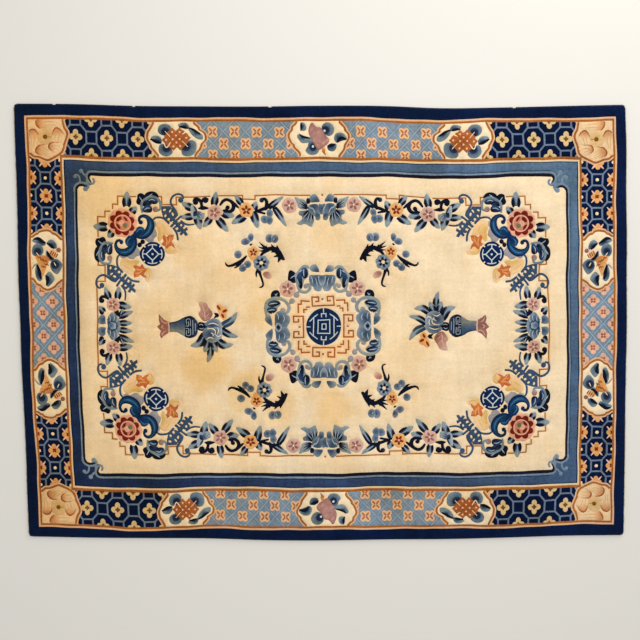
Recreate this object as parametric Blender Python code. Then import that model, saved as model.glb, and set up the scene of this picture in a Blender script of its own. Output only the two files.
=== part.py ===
"""Hand-knotted wool rug in the Chinese Art Deco manner, lying flat.

The pile and its cotton foundation are one piece of cloth. Wool oversews a cord along each
long edge, and a turned cotton web closes each short end. Metres, +Z up. The origin is on the
floor under the middle of the rug's box, with the length along X. Left is -X and back is +Y.
"""
from math import cos, pi, radians, sin

import bmesh
import bpy

MM = 0.001

# Driving sizes
LENGTH = 2.660            # over both webs, along the straight nominal edges
WIDTH = 1.900             # over both edge cords
RUG_THICKNESS = 0.014     # cotton foundation with the clipped pile on it
PILE_ROUNDING = 0.005     # the pile leans out and rounds off at the rim
FOOT_BEVEL = 0.001        # the foundation's lower arris
EDGE_FINISH = 0.006       # width of the cords and of the webs
CORD_HEIGHT = 0.007
WEB_THICKNESS = 0.003
WEB_ROUNDING = 0.001      # the fold along each web's outer side
CORNER_RADIUS = 0.020     # the rug's corners are pulled round
GAP = 0.0003              # air between pieces that touch

# How finely the outline is cut
STATION_STEP = 0.095
CORNER_STEPS = 3          # in each half of a corner
ROUNDING_STEPS = 3
CORD_SIDES = 8

# How far each edge runs outside its straight nominal line, in millimetres. The share goes
# from left to right along the back and front edges, and from back to front along the others.
WANDER_COLUMNS = ("share", "back", "front", "left", "right")
EDGE_WANDER = (
    (0.0,   8,  -4,   9, -15),
    (0.1,   5,   3,   8,  -7),
    (0.2,  -4,   7,   6,  -5),
    (0.3,  -7,  10,   7,   1),
    (0.4,  -9,  20,   9,   3),
    (0.5,  -7,  23,   6,   7),
    (0.6,  -9,  20,   5,   6),
    (0.7, -20,  20,   0,   6),
    (0.8, -18,  15,  -4,   7),
    (0.9, -13,   8,  -5,   7),
    (1.0,  -9,   7,  -8,   7),
)

# The middle of the straight part of each side, going round clockwise as seen from above:
# its outward angle in degrees
SIDE_ANGLES = {"back": 90, "right": 0, "front": -90, "left": -180}


def clear_scene():
    for thing in list(bpy.data.objects):
        bpy.data.objects.remove(thing, do_unlink=True)


def make_material(name, colour, roughness):
    """A plain matte fibre of one colour."""
    material = bpy.data.materials.new(name)
    material.use_nodes = True
    shader = material.node_tree.nodes["Principled BSDF"]
    shader.inputs["Base Color"].default_value = (*colour, 1.0)
    shader.inputs["Roughness"].default_value = roughness
    shader.inputs["Metallic"].default_value = 0.0
    return material


def wander(edge, share):
    """An edge's distance outside its nominal line, smooth between the table's rows."""
    column = WANDER_COLUMNS.index(edge)
    last = len(EDGE_WANDER) - 1
    place = min(max(share, 0.0), 1.0) * last
    row = min(int(place), last - 1)
    t = place - row
    a, b, c, d = (EDGE_WANDER[min(max(k, 0), last)][column] for k in range(row - 1, row + 3))
    value = b + 0.5 * t * (c - a + t * (2 * a - 5 * b + 4 * c - d + t * (3 * (b - c) + d - a)))
    return value * MM


def laid(x, y):
    """Where a point of the straight nominal rug lies on the real, slightly bowed one."""
    along = x / LENGTH + 0.5
    down = 0.5 - y / WIDTH
    shift_x = wander("right", down) * along - wander("left", down) * (1 - along)
    shift_y = wander("back", along) * (1 - down) - wander("front", along) * down
    return x + shift_x, y + shift_y


def side_stations(side, reach):
    """Stations along one side, with `reach` degrees of the corner at each end.

    A station is a point on the core rectangle that the corner arcs turn about, and the
    outward angle there, so one list serves every line that runs parallel to the edge.
    """
    middle = SIDE_ANGLES[side]
    core_x = LENGTH / 2 - CORNER_RADIUS
    core_y = WIDTH / 2 - CORNER_RADIUS
    run = core_x if side in ("back", "front") else core_y
    reach_out = core_y if side in ("back", "front") else core_x
    out_x, out_y = cos(radians(middle)), sin(radians(middle))
    on_x, on_y = out_y, -out_x                       # clockwise along the side

    def core(travel):
        return out_x * reach_out + on_x * travel, out_y * reach_out + on_y * travel

    turns = [reach * k / CORNER_STEPS for k in range(CORNER_STEPS, 0, -1)]
    steps = round(2 * run / STATION_STEP)
    stations = [(*core(-run), middle + turn) for turn in turns]
    stations += [(*core(-run + 2 * run * k / steps), middle) for k in range(steps + 1)]
    stations += [(*core(run), middle - turn) for turn in reversed(turns)]
    return stations


def at_inset(station, inset):
    """The nominal point that far inside the edge, at a station."""
    x, y, angle = station
    radius = CORNER_RADIUS - inset
    return x + radius * cos(radians(angle)), y + radius * sin(radians(angle))


def box_middle():
    """The middle of the laid rug's box, which becomes the origin."""
    points = [laid(*at_inset(station, 0.0)) for side in SIDE_ANGLES
              for station in side_stations(side, 45)]
    xs, ys = zip(*points)
    return (min(xs) + max(xs)) / 2, (min(ys) + max(ys)) / 2


MIDDLE = box_middle()


def placed(station, inset, height):
    """A point on the laid rug, in the part's frame."""
    x, y = laid(*at_inset(station, inset))
    return x - MIDDLE[0], y - MIDDLE[1], height


def new_object(name, work, material):
    """Closes a bmesh off as one named object with faces pointing out."""
    bmesh.ops.recalc_face_normals(work, faces=work.faces)
    mesh = bpy.data.meshes.new(name)
    work.to_mesh(mesh)
    work.free()
    mesh.materials.append(material)
    thing = bpy.data.objects.new(name, mesh)
    bpy.context.scene.collection.objects.link(thing)
    mesh.shade_smooth()
    mesh.set_sharp_from_angle(angle=radians(50))
    return thing


def bridge(work, ring, following):
    """Quads between two rings of the same count."""
    count = len(ring)
    for k in range(count):
        n = (k + 1) % count
        work.faces.new((ring[k], ring[n], following[n], following[k]))


def rug_body(material):
    """Foundation and pile: a flat sheet whose rim stands up and rounds in at the top."""
    inner = EDGE_FINISH + GAP
    profile = [(inner + FOOT_BEVEL, 0.0), (inner, FOOT_BEVEL)]
    for k in range(ROUNDING_STEPS + 1):
        turn = pi / 2 * k / ROUNDING_STEPS
        profile.append((inner + PILE_ROUNDING * (1 - cos(turn)),
                        RUG_THICKNESS - PILE_ROUNDING * (1 - sin(turn))))
    stations = []
    for side in SIDE_ANGLES:
        stations += side_stations(side, 45)[:-1]     # the next side starts on the last one
    work = bmesh.new()
    rings = [[work.verts.new(placed(s, inset, height)) for s in stations]
             for inset, height in profile]
    for ring, following in zip(rings, rings[1:]):
        bridge(work, ring, following)
    work.faces.new(rings[0])
    work.faces.new(rings[-1])
    return new_object("rug_body", work, material)


def edge_strip(name, side, section, material):
    """A strip with the given section, laid along one side and halfway round its corners."""
    trim = GAP / 2 / (CORNER_RADIUS - EDGE_FINISH)   # radians, to leave the gap in the corner
    stations = side_stations(side, 45 - trim * 180 / pi)
    work = bmesh.new()
    rings = [[work.verts.new(placed(s, inset, height)) for inset, height in section]
             for s in stations]
    for ring, following in zip(rings, rings[1:]):
        bridge(work, ring, following)
    work.faces.new(rings[0])
    work.faces.new(rings[-1])
    return new_object(name, work, material)


def cord_section():
    """An oversewn cord, round but pressed flat where it lies."""
    half = pi / CORD_SIDES
    corners = [half + 2 * half * k for k in range(CORD_SIDES)]
    flat = cos(half)                                 # share of the radius that its flats reach
    return [(EDGE_FINISH / 2 * (1 + cos(a) / flat), CORD_HEIGHT / 2 * (1 + sin(a) / flat))
            for a in corners]


def web_section():
    """A flat cotton web, folded round along its outer side, which is at inset 0."""
    fold = WEB_ROUNDING
    return [(fold, 0.0), (EDGE_FINISH, 0.0), (EDGE_FINISH, WEB_THICKNESS),
            (fold, WEB_THICKNESS), (0.0, WEB_THICKNESS - fold), (0.0, fold)]


def build():
    clear_scene()
    pile_wool = make_material("pile_wool", (0.76, 0.58, 0.35), 0.95)
    navy_wool = make_material("navy_wool", (0.012, 0.016, 0.055), 0.95)
    web_cotton = make_material("web_cotton", (0.74, 0.68, 0.56), 0.90)
    rug_body(pile_wool)
    for side in ("back", "front"):
        edge_strip(f"selvedge_{side}", side, cord_section(), navy_wool)
    for side in ("left", "right"):
        edge_strip(f"end_web_{side}", side, web_section(), web_cotton)


build()
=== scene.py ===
# %% [markdown]
# # A Chinese Art Deco rug
# The real rug is a cotton foundation with a wool tuft knotted round every pair of warps. The pile is
# clipped level, and then a groove is cut with scissors along the border of every flower and leaf, so
# each shape stands up like a low cushion. The pattern is the dyed wool itself. So the pattern is
# made here as geometry: a drawing of flat shapes in millimetres, which is cut into triangles, and
# each triangle takes the dye of the shape it lies in. The grooves are then pressed into that mesh.

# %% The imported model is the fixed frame
from collections import namedtuple
from math import ceil, cos, hypot, pi, radians, sin

import bpy
import numpy as np
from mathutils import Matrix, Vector
from mathutils.geometry import delaunay_2d_cdt
from mathutils.kdtree import KDTree


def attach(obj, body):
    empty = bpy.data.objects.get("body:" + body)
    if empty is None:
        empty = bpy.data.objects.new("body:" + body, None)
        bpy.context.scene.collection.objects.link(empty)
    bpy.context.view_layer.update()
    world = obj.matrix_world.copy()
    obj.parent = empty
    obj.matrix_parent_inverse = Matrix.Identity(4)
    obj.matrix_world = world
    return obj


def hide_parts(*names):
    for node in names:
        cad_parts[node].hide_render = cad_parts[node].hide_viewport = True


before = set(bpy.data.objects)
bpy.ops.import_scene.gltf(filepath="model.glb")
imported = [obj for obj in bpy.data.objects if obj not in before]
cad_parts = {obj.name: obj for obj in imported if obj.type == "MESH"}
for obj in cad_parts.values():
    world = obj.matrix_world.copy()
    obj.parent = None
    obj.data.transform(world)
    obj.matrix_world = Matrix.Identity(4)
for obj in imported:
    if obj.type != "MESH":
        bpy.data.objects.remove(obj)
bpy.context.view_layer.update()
print("nodes:", sorted(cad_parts))

# %% [markdown]
# ## The wool's dyes
# The wool is dyed before it is knotted. Old dyes fade unevenly, so each is a muted shade, and the
# blues go from almost black to a greyed sky blue. Each dye is one sRGB hex value that one function
# turns to linear light.

# %% Dyes of the wool
DYES = {
    "navy": "#061531",           # outer band
    "ink": "#03102B",            # ground of the octagon lattice, and the painted groove shadow on each side of the denim band
    "black": "#0C101E",          # blue-black of leaves and twigs
    "denim": "#172442",          # the wide inner band
    "denim_painted_light": "#53697A",     # painted lighter shade, where the light falls most on the denim
    "slate": "#2C3A50",          # between the black and the grey of a leaf
    "band_grey": "#6D7C87",
    "band_black": "#14141F",
    "line_pink": "#D2A47A",
    "line_rust": "#965824",
    "line_cream": "#D5B78D",
    "corner_cream": "#D6B284",
    "corner_tan": "#BE965C",
    "corner_rose": "#B97A4B",
    "corner_brown": "#8E5220",
    "olive": "#6A4612",
    "lattice_blue": "#626E7C",
    "lattice_cream": "#C8A873",
    "steel": "#73818A",
    "steel_dark": "#66747C",
    "steel_light": "#8F9DA4",
    "peach": "#D2A474",
    "cross_pink": "#CF9E7E",
    "rose_cross": "#94533A",
    "orange_wool": "#CC9154",
    "barb_pink": "#D8A98A",
    "panel_cream": "#DFC8A0",
    "knot_rust": "#9C5628",
    "knot_brown": "#7C4019",
    "cloud": "#6B797B",
    "mauve": "#8F6459",
    "mauve_light": "#A87C70",
    "field": "#DFC59C",
    "field_peach": "#DFB98A",
    "fret_rust": "#93571F",
    "peony_pink": "#D29A78",
    "peony_red": "#6A1A0E",
    "peony_core": "#B97459",
    "moss": "#5F6447",
    "leaf_grey": "#7F8886",
    "leaf_pale": "#98A3A8",
    "leaf_blue": "#2A4161",
    "scroll_blue": "#0C2140",
    "scroll_mid": "#183C5A",
    "scroll_teal": "#33627C",
    "shadow_mauve": "#8B8581",
    "roundel": "#0A1E42",
    "roundel_line": "#BDC3B8",
    "bat_yellow": "#C9A05A",
    "bat_rust": "#B65E30",
    "fret_blue": "#33455A",
    "flower_pink": "#C49C87",
    "blossom_heart": "#A67B6D",
    "flower_mauve": "#87594C",
    "flower_orange": "#D39A5C",
    "star_rust": "#74280C",
    "lotus_blue": "#293B4D",
    "lotus_grey": "#80898E",
    "vase_blue": "#2B4058",
    "vase_grey": "#747468",
    "vase_foot": "#86584A",
    "disc_blue": "#0C2344",
    "key_rust": "#935324",
}


def srgb(code):
    """A hex value as three shares."""
    return np.array([int(code[k:k + 2], 16) / 255 for k in (1, 3, 5)])


def to_linear(shares):
    """sRGB shares in the linear light that a shader works in."""
    return np.where(shares <= 0.04045, shares / 12.92, ((shares + 0.055) / 1.055) ** 2.4)


def linear(code):
    return to_linear(srgb(code)).tolist()


print(len(DYES), "dyes")

# %% [markdown]
# ## Drawing with wool
# A weaver works from a paper chart of closed shapes, each marked with its dye. These few helpers
# draw such shapes as outlines in millimetres, with the middle of the rug at 0, 0. A shape drawn
# later covers one drawn earlier. A dye may fade to another across a shape, as it does in the
# petals and leaves, and a shape may be left without a carved groove.

# %% Outlines, strokes and discs
Shape = namedtuple("Shape", "points dye other anchors round_fade carved")
STEP = 5.0      # mm between the points of an outline


def xy(points):
    """Points as rows, from pairs or from one flat list of x, y, x, y."""
    points = np.asarray(points, float)
    return points.reshape(-1, 2) if points.ndim == 1 else points


def smooth(points, closed):
    """Points along a smooth line through the given ones; any third value is carried along."""
    given = xy(points)
    count = len(given)
    pieces = []
    for k in range(count if closed else count - 1):
        near = [(k + j) % count if closed else min(max(k + j, 0), count - 1) for j in (-1, 0, 1, 2)]
        a, b, c, d = given[near]
        parts = max(1, ceil(hypot(*(c - b)[:2]) / STEP))
        t = np.arange(parts)[:, None] / parts
        pieces.append(b + 0.5 * t * (c - a + t * (2 * a - 5 * b + 4 * c - d + t * (3 * (b - c) + d - a))))
    if not closed:
        pieces.append(given[-1:])
    return np.concatenate(pieces)


def shape(points, dye, fade=None, glow=None, carved=True):
    """One closed outline. fade is (dye, from, to); glow is (rim dye, middle, radius)."""
    other, anchors = None, None
    if fade:
        other, anchors = fade[0], np.array(fade[1:], float)
    if glow:
        other, (x, y), radius = glow
        anchors = np.array([(x, y), (x + radius, y)], float)
    return [Shape(xy(points), dye, other, anchors, bool(glow), carved)]


def blob(points, dye, **how):
    """A closed shape with a smooth outline."""
    return shape(smooth(points, True), dye, **how)


def plate(left, bottom, right, top, dye, **how):
    """A plain rectangle."""
    return shape([(left, bottom), (right, bottom), (right, top), (left, top)], dye, **how)


def oval(x, y, across, along, dye, turn=0, **how):
    """An ellipse with the given half sizes, turned by degrees."""
    count = max(8, int(2 * pi * max(across, along) / STEP))
    angle = np.arange(count) * 2 * pi / count
    u, v = across * np.cos(angle), along * np.sin(angle)
    c, s = cos(radians(turn)), sin(radians(turn))
    return shape(np.column_stack([x + c * u - s * v, y + s * u + c * v]), dye, **how)


def scallop(x, y, radius, lobes, depth, dye, turn=0, **how):
    """A round shape whose rim is a row of lobes."""
    count = max(lobes * 6, int(2 * pi * radius / STEP))
    angle = np.arange(count) * 2 * pi / count
    swell = np.abs(np.cos(lobes * (angle - radians(turn)) / 2)) ** 0.7
    reach = radius * (1 - depth + depth * swell)
    return shape(np.column_stack([x + reach * np.cos(angle), y + reach * np.sin(angle)]), dye, **how)


def stroke(points, width, dye, closed=False, **how):
    """A line of wool with round ends; width is one number or one for each point."""
    given = xy(points)
    widths = np.interp(np.linspace(0, 1, len(given)), np.linspace(0, 1, np.size(width)),
        np.atleast_1d(width))
    line = smooth(np.column_stack([given, widths / 2]), closed)
    middle, half = line[:, :2], np.maximum(line[:, 2:], 0.4)
    ahead = np.roll(middle, -1, 0) if closed else np.vstack([middle[1:], middle[-1:]])
    behind = np.roll(middle, 1, 0) if closed else np.vstack([middle[:1], middle[:-1]])
    along = ahead - behind
    along /= np.maximum(np.linalg.norm(along, axis=1, keepdims=True), 1e-9)
    out = np.column_stack([-along[:, 1], along[:, 0]]) * half
    if closed:
        left, right = middle + out, (middle - out)[::-1]
        return shape(np.vstack([left, left[:1], right[-1:], right]), dye, **how)

    def cap(centre, start, sense):
        turns = np.linspace(0, pi, 5)[1:-1] if hypot(*start) > 2.2 else [pi / 2]
        across = np.array([start[1], -start[0]]) * sense
        return [centre + start * cos(a) + across * sin(a) for a in turns]

    return shape(np.vstack([middle + out, cap(middle[-1], out[-1], 1), (middle - out)[::-1], cap(middle[0],
        -out[0], 1)]), dye, **how)


def inlay(points, width, dye="leaf_pale", **how):
    """A stroke without a groove, such as a vein."""
    return stroke(points, width, dye, carved=False, **how)


def inlays(lines, width, dye="leaf_pale"):
    return sum((inlay(line, width, dye) for line in lines), [])


def fret(points, width, dye, closed=False, **how):
    """A line of straight runs with mitred corners, as a key fret has."""
    line = xy(points)
    ahead = (np.roll(line, -1, 0) if closed else np.vstack([line[1:], line[-1:]])) - line
    behind = line - (np.roll(line, 1, 0) if closed else np.vstack([line[:1], line[:-1]]))
    if not closed:
        ahead[-1], behind[0] = behind[-1], ahead[0]
    sides = []
    for run in (behind, ahead):
        run = run / np.linalg.norm(run, axis=1, keepdims=True)
        sides.append(np.column_stack([-run[:, 1], run[:, 0]]))
    before, after = sides
    mitre = (before + after) / (1 + np.sum(before * after, axis=1, keepdims=True)) * width / 2
    left, right = line + mitre, (line - mitre)[::-1]
    if closed:
        return shape(np.vstack([left, left[:1], right[-1:], right]), dye, **how)
    return shape(np.vstack([left, right]), dye, **how)


def moved(shapes, matrix=((1, 0), (0, 1)), shift=(0, 0)):
    """The same shapes turned, mirrored or carried elsewhere."""
    turn = np.array(matrix, float).T
    return [s._replace(points=s.points @ turn + shift, anchors=None if s.anchors is None
        else s.anchors @ turn + shift) for s in shapes]


def mirrored(shapes, x=-1, y=1):
    return moved(shapes, ((x, 0), (0, y)))


def both_sides(shapes):
    """Left and right."""
    return shapes + mirrored(shapes)


def four_ways(shapes):
    """All four quarters of the rug."""
    return both_sides(shapes) + both_sides(mirrored(shapes, 1, -1))


def spread(draw, count, radius, x, y, turn=0):
    """draw(x, y, outward angle) at places spread evenly round a centre."""
    angles = [turn + 360 * k / count for k in range(count)]
    return sum((draw(x + radius * cos(radians(a)), y + radius * sin(radians(a)), a) for a in angles), [])


print("outlines are cut every", STEP, "mm")

# %% [markdown]
# ## Bands and ground
# Seen from the edge inwards: a navy band, a pink and a rust line, the wide main border, a rust and
# a cream line, a denim band, a grey and a black line, and then the cream field. Each is drawn as a
# whole rectangle on top of the last one, except the outer lines, which frame the main border after
# its lattices are drawn. A thin ink band on each side of the denim is painted shadow of the carved
# grooves there, and painted light makes the denim paler towards the back right corner. The field
# glows peach near the fretwork, where the wool is darker.

# %% Half sizes of each band's outer edge, in millimetres
BANDS = [
    # The two thin ink bands, on each side of the denim, are painted shadow of the carved grooves there.
    ("line_rust", 1136.0, 732.0), ("line_cream", 1127.5, 720.5), ("ink", 1120.5, 712.0),
    ("denim", 1116.0, 708.5), ("ink", 1084.5, 674.0), ("band_grey", 1082.0, 671.0),
    ("band_black", 1075.5, 662.5), ("field", 1065.5, 648.0),
]
OUTER_LINES = [     # dye, outer and inner half sizes
    ("navy", 1400, 1000, 1285, 902), ("line_pink", 1285, 902, 1278, 894),
    ("line_rust", 1278, 894, 1270, 885),
]


def inner_bands():
    return sum((plate(-x, -y, x, y, dye) for dye, x, y in BANDS), [])


def paint_light_on_denim(shapes):
    """Denim wool has one fade over the whole rug, painted light that makes it paler towards the back right
    corner.
    """
    ends = np.array([(-912, -912), (912, 912)], float)
    return [s._replace(other="denim_painted_light", anchors=ends) if s.dye == "denim" and s.other is None else s
        for s in shapes]


def outer_bands():
    """Frames, so that the lattices under them end in a straight edge."""
    shapes = []
    for dye, far_x, far_y, x, y in OUTER_LINES:
        for side in (-1, 1):
            shapes += plate(-far_x, side * y, far_x, side * far_y, dye)
            shapes += plate(side * x, -y, side * far_x, y, dye)
    return shapes


print(len(BANDS) + len(OUTER_LINES), "bands")

# %% [markdown]
# ## Flowers and leaves
# The same few forms fill the garland, the sprays and the wreath: a pink blossom with a scalloped
# rim, an orange blossom with a five-petalled dark star, and a lobed leaf that goes from blue-black
# at its base to grey at its tip. Each is one function, so the forty or so blossoms and leaves
# stay alike, as a weaver would have kept them.

# %% A leaf, two blossoms and a ball
def leaf(base, tip, half, dark="black", light="leaf_grey", bend=0.0, veins=1):
    """A lobed leaf, dark in fingers at its base; bend carries its middle to the left, in mm."""
    base, tip = np.array(base, float), np.array(tip, float)
    run = tip - base
    out = np.array([-run[1], run[0]]) / hypot(*run)

    def at(share, across):
        return base + run * share + out * (across * half + bend * sin(pi * share))

    side = [(0.0, 0.5), (0.06, 0.86), (0.22, 1.0), (0.4, 0.95), (0.54, 0.88), (0.63, 0.70), (0.8, 0.54),
        (0.93, 0.28)]
    rim = [at(t, w) for t, w in side] + [at(1, 0.04)] + [at(t, -w) for t, w in reversed(side)]
    middle = "slate" if dark == "black" else dark
    shapes = blob(rim, middle, fade=(light, at(0.12, 0), at(0.66, 0)))
    for across in np.linspace(-0.5, 0.5, veins + 1) if veins else ():
        finger = [at(-0.02, across * 1.1), at(0.2, across * 1.3), at(0.42, across * 1.25), at(0.58, across)]
        shapes += inlay(finger, (0.5 * half, 1.0 * half / (veins + 0.5), 0.8 * half / (veins + 0.5), 2),
            dark, fade=(middle, at(0.36, 0), at(0.62, 0)))
    for k in range(veins):
        across = (k - (veins - 1) / 2) * 0.7
        line = [at(0.04, across * 0.5), at(0.34, across), at(0.66, across * 1.1)]
        shapes += inlay(line, (1.4, 2.6, 1.2))
    return shapes


def pink_blossom(x, y, radius=33, turn=0):
    shapes = scallop(x, y, radius, 5, 0.10, "blossom_heart", turn=turn, glow=("flower_pink", (x, y),
        radius * 0.92))

    def streak(px, py, angle):
        return oval(px, py, radius * 0.30, radius * 0.15, "flower_mauve", turn=angle, carved=False)

    def crease(px, py, angle):
        reach = radius * 0.28
        ends = [(px + reach * u * cos(radians(angle)), py + reach * u * sin(radians(angle))) for u in (-1, 1)]
        return inlay(ends, (2.6, 2), "flower_pink")

    shapes += spread(streak, 5, radius * 0.42, x, y, turn)
    shapes += spread(crease, 5, radius * 0.38, x, y, turn + 36)
    return shapes + oval(x, y, radius * 0.10, radius * 0.13, "panel_cream", carved=False)


def orange_blossom(x, y, radius=33):
    shapes = scallop(x, y, radius, 5, 0.20, "flower_orange", turn=90)

    def star_petal(px, py, angle):
        return oval(px, py, radius * 0.28, radius * 0.17, "star_rust", turn=angle)

    shapes += spread(star_petal, 5, radius * 0.37, x, y, 90)
    return shapes + ball(x, y, radius * 0.15, "peony_pink")


def ball(x, y, radius, dye="black", **how):
    return oval(x, y, radius, radius, dye, **how)


print("a leaf is", len(leaf((0, 0), (0, 60), 17)), "shapes,", "a blossom", len(pink_blossom(0, 0)))

# %% [markdown]
# ## The main border
# Each side of the border is a row of panels: a navy lattice of octagons and squares, a cream
# cartouche with wavy ends, and a steel-blue lattice with small peach crosses. The lattices repeat
# by a rule, so loops lay them out, and the cartouches and bands drawn after them cut them off.

# %% Lattices
def lattice_flower(x, y, across, along, petal, heart):
    """Four petals that point along the sides, with a dark heart; orange ones have pale barbs."""
    shapes = []
    if petal == "orange_wool":
        for dx, dy in ((1, 1), (1, -1), (-1, 1), (-1, -1)):
            shapes += inlay([(x + dx * 13, y + dy * 14), (x + dx * 24, y + dy * 27)], (9, 3.5), "barb_pink")
    for dx, dy in ((1, 0), (-1, 0), (0, 1), (0, -1)):
        shapes += oval(x + dx * across * 0.26, y + dy * along * 0.28, across * (0.24 if dx else 0.20),
            along * (0.22 if dy else 0.20), petal, carved=False)
    shapes += oval(x, y, across * 0.27, along * 0.27, petal, carved=False)
    return shapes + scallop(x, y, across * 0.19, 4, 0.5, heart, turn=0 if heart == "olive" else 45)


def octagon_lattice(x, y, half_x, half_y, columns, rows, flower):
    """Octagons centred where column + row is even, with small squares between them."""
    shapes = []
    square_x, square_y = half_x * 0.335, half_y * 0.33
    for column in range(columns[0], columns[1] + 1):
        for row in range(rows[0], rows[1] + 1):
            cx, cy = x + column * half_x, y + row * half_y
            if (column + row) % 2:
                frame_line = [(cx - square_x, cy - square_y), (cx + square_x, cy - square_y), (cx + square_x,
                    cy + square_y), (cx - square_x, cy + square_y)]
                shapes += fret(frame_line, 7.5, "lattice_blue", closed=True)
                if flower == "orange_wool":
                    shapes += ball(cx, cy, 7.5, "panel_cream")
                continue
            for up in (1, -1):
                shapes += fret([(cx + half_x - square_x, cy + up * square_y), (cx + square_x, cy
                    + up * (half_y - square_y))], 7.5, "lattice_blue")
            across, along = (57, 66) if flower == "lattice_cream" else (54, 62)
            heart = "olive" if flower == "lattice_cream" else "star_rust"
            shapes += lattice_flower(cx, cy, across, along, flower, heart)
    return shapes


def notched_cross(x, y):
    """The peach notched square of the steel lattice, with four rust marks that lean inwards."""
    shapes = plate(x - 18, y - 20, x + 18, y + 20, "peach", carved=False)
    for dx in (-1, 1):
        for dy in (-1, 1):
            shapes += oval(x + dx * 11.5, y + dy * 13, 11, 11.5, "peach", carved=False)
    for dx in (-1, 1):
        for dy in (-1, 1):
            shapes += inlay([(x + dx * 13, y + dy * 13), (x + dx * 5, y + dy * 4)], (6, 7.5), "rose_cross")
    return shapes


def round_cross(x, y):
    """The pink four-petalled cross of the side lattice, with a dark rose heart."""
    shapes = []
    for dx, dy in ((1, 0), (-1, 0), (0, 1), (0, -1)):
        shapes += oval(x + dx * 15, y + dy * 16, 12, 12.5, "cross_pink", carved=False)
    shapes += ball(x, y, 15, "cross_pink", carved=False)
    shapes += scallop(x, y, 13.5, 4, 0.6, "rose_cross", turn=45)
    return shapes + ball(x, y, 3.5, "cross_pink", carved=False)


def steel_lattice(x, y, half_x, half_y, columns, rows, cross):
    """Crosses where column + row is even, with a net of pale diagonal lines between them."""
    shapes = []
    low, high = y + rows[0] * half_y, y + rows[1] * half_y
    slope = half_y / half_x
    for column in range(columns[0] - rows[1] + rows[0], columns[1] + rows[1] - rows[0] + 1):
        if (column + rows[0]) % 2:
            start = x + column * half_x
            for lean in (1, -1):
                end = start + lean * (high - low) / slope
                for dye, width in (("steel_dark", 12), ("steel_light", 4)):
                    shapes += fret([(start, low), (end, high)], width, dye, carved=False)
    for column in range(columns[0], columns[1] + 1):
        for row in range(rows[0], rows[1]):
            if (column + row) % 2 == 0:
                shapes += cross(x + column * half_x, y + row * half_y)
    return shapes


def lattice_panels():
    """The four lattices of one quarter, on their grounds."""
    shapes = plate(-560, 725, -60, 895, "steel")
    shapes += steel_lattice(-325, 792, 48.5, 50, (-4, 4), (-1, 2), notched_cross)
    shapes += plate(-1280, -5, -1130, 230, "steel")
    shapes += steel_lattice(-1181, 0, 45, 51, (-2, 1), (0, 4), round_cross)
    shapes += plate(-1130, 725, -700, 895, "ink")
    shapes += octagon_lattice(-931, 810, 68.7, 77.5, (-3, 3), (-1, 1), "lattice_cream")
    shapes += plate(-1280, 330, -1130, 715, "ink")
    return shapes + octagon_lattice(-1203, 558, 67, 76, (-1, 1), (-3, 2), "orange_wool")


print(len(lattice_panels()), "shapes in one quarter's lattices")

# %% Corner squares, with a tone-on-tone pinwheel
CORNER_RIM = [-1285, 900, -1124, 900, -1123, 885, -1116, 850, -1106, 832, -1105, 812, -1119, 774, -1122, 758,
    -1134, 738, -1174, 716, -1196, 710, -1230, 723, -1250, 726, -1268, 740, -1285, 745]

SWIRLS = [    # rim, head, tail, brow and folds of each petal
    ([-1238, 880, -1210, 884, -1165, 883, -1134, 880, -1128, 862, -1142, 848,
      -1205, 846, -1222, 846], (-1226, 862), (-1190, 866),
     [-1237, 880, -1233, 862, -1221, 846],
     [[-1214, 872, -1190, 874, -1156, 872], [-1210, 856, -1185, 858, -1150, 858]]),
    ([-1170, 818, -1161, 838, -1147, 849, -1131, 840, -1117, 818, -1117, 796,
      -1126, 784, -1168, 786], (-1146, 840), (-1143, 808),
     [-1169, 820, -1160, 839, -1147, 847, -1132, 838, -1124, 824],
     [[-1158, 792, -1154, 816, -1143, 828], [-1146, 788, -1142, 806, -1136, 814],
      [-1130, 792, -1126, 806]]),
    ([-1180, 782, -1150, 784, -1130, 780, -1124, 764, -1152, 738, -1176, 750,
      -1186, 764], (-1182, 764), (-1156, 764),
     [-1143, 783, -1168, 784, -1182, 776, -1184, 760, -1174, 749],
     [[-1168, 768, -1152, 770, -1136, 764], [-1164, 756, -1152, 756, -1144, 750]]),
    ([-1206, 776, -1226, 774, -1241, 760, -1243, 744, -1230, 732, -1184, 722,
      -1166, 730, -1176, 744, -1196, 760], (-1234, 754), (-1200, 744),
     [-1204, 776, -1226, 773, -1240, 759, -1242, 744, -1232, 734],
     [[-1226, 758, -1206, 748, -1186, 736], [-1222, 744, -1204, 736, -1190, 730],
      [-1212, 764, -1196, 754, -1184, 746]]),
    ([-1268, 832, -1260, 843, -1242, 843, -1230, 830, -1236, 782, -1244, 762,
      -1248, 744, -1262, 744, -1266, 780], (-1250, 838), (-1250, 800),
     [-1267, 834, -1258, 843, -1242, 842, -1231, 829, -1227, 818],
     [[-1258, 826, -1258, 800, -1256, 764], [-1246, 826, -1245, 800, -1250, 768],
      [-1238, 812, -1240, 792]]),
]


def grown(points, middle, by):
    """A rim pushed out from its middle by so many millimetres."""
    away = xy(points) - middle
    return away * (1 + by / np.linalg.norm(away, axis=1, keepdims=True)) + middle


def corner_square():
    """A cream square whose inner corner is scalloped, with five petals that swirl round a disc."""
    shapes = blob(grown(CORNER_RIM, (-1200, 800), 11), "line_pink")
    shapes += blob(grown(CORNER_RIM, (-1200, 800), 4.5), "line_rust")
    shapes += blob(grown(CORNER_RIM, (-1200, 800), -4.5), "corner_cream")
    shapes += scallop(-1197, 810, 36, 8, 0.06, "corner_tan", glow=("corner_cream", (-1197, 810), 66))
    for rim, head, tail, brow, folds in SWIRLS:
        shapes += blob(rim, "corner_rose", fade=("corner_cream", head, tail))
        shapes += inlays(folds, (2, 4, 2), "corner_tan")
        shapes += stroke(brow, (3, 6.5, 3), "corner_brown", fade=("corner_rose", head, tail))
    return shapes + ball(-1198, 809, 9.5, "olive") + inlay([-1186, 808, -1172, 808], (3, 2), "corner_brown")


print(len(corner_square()), "shapes in a corner square")

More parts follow.
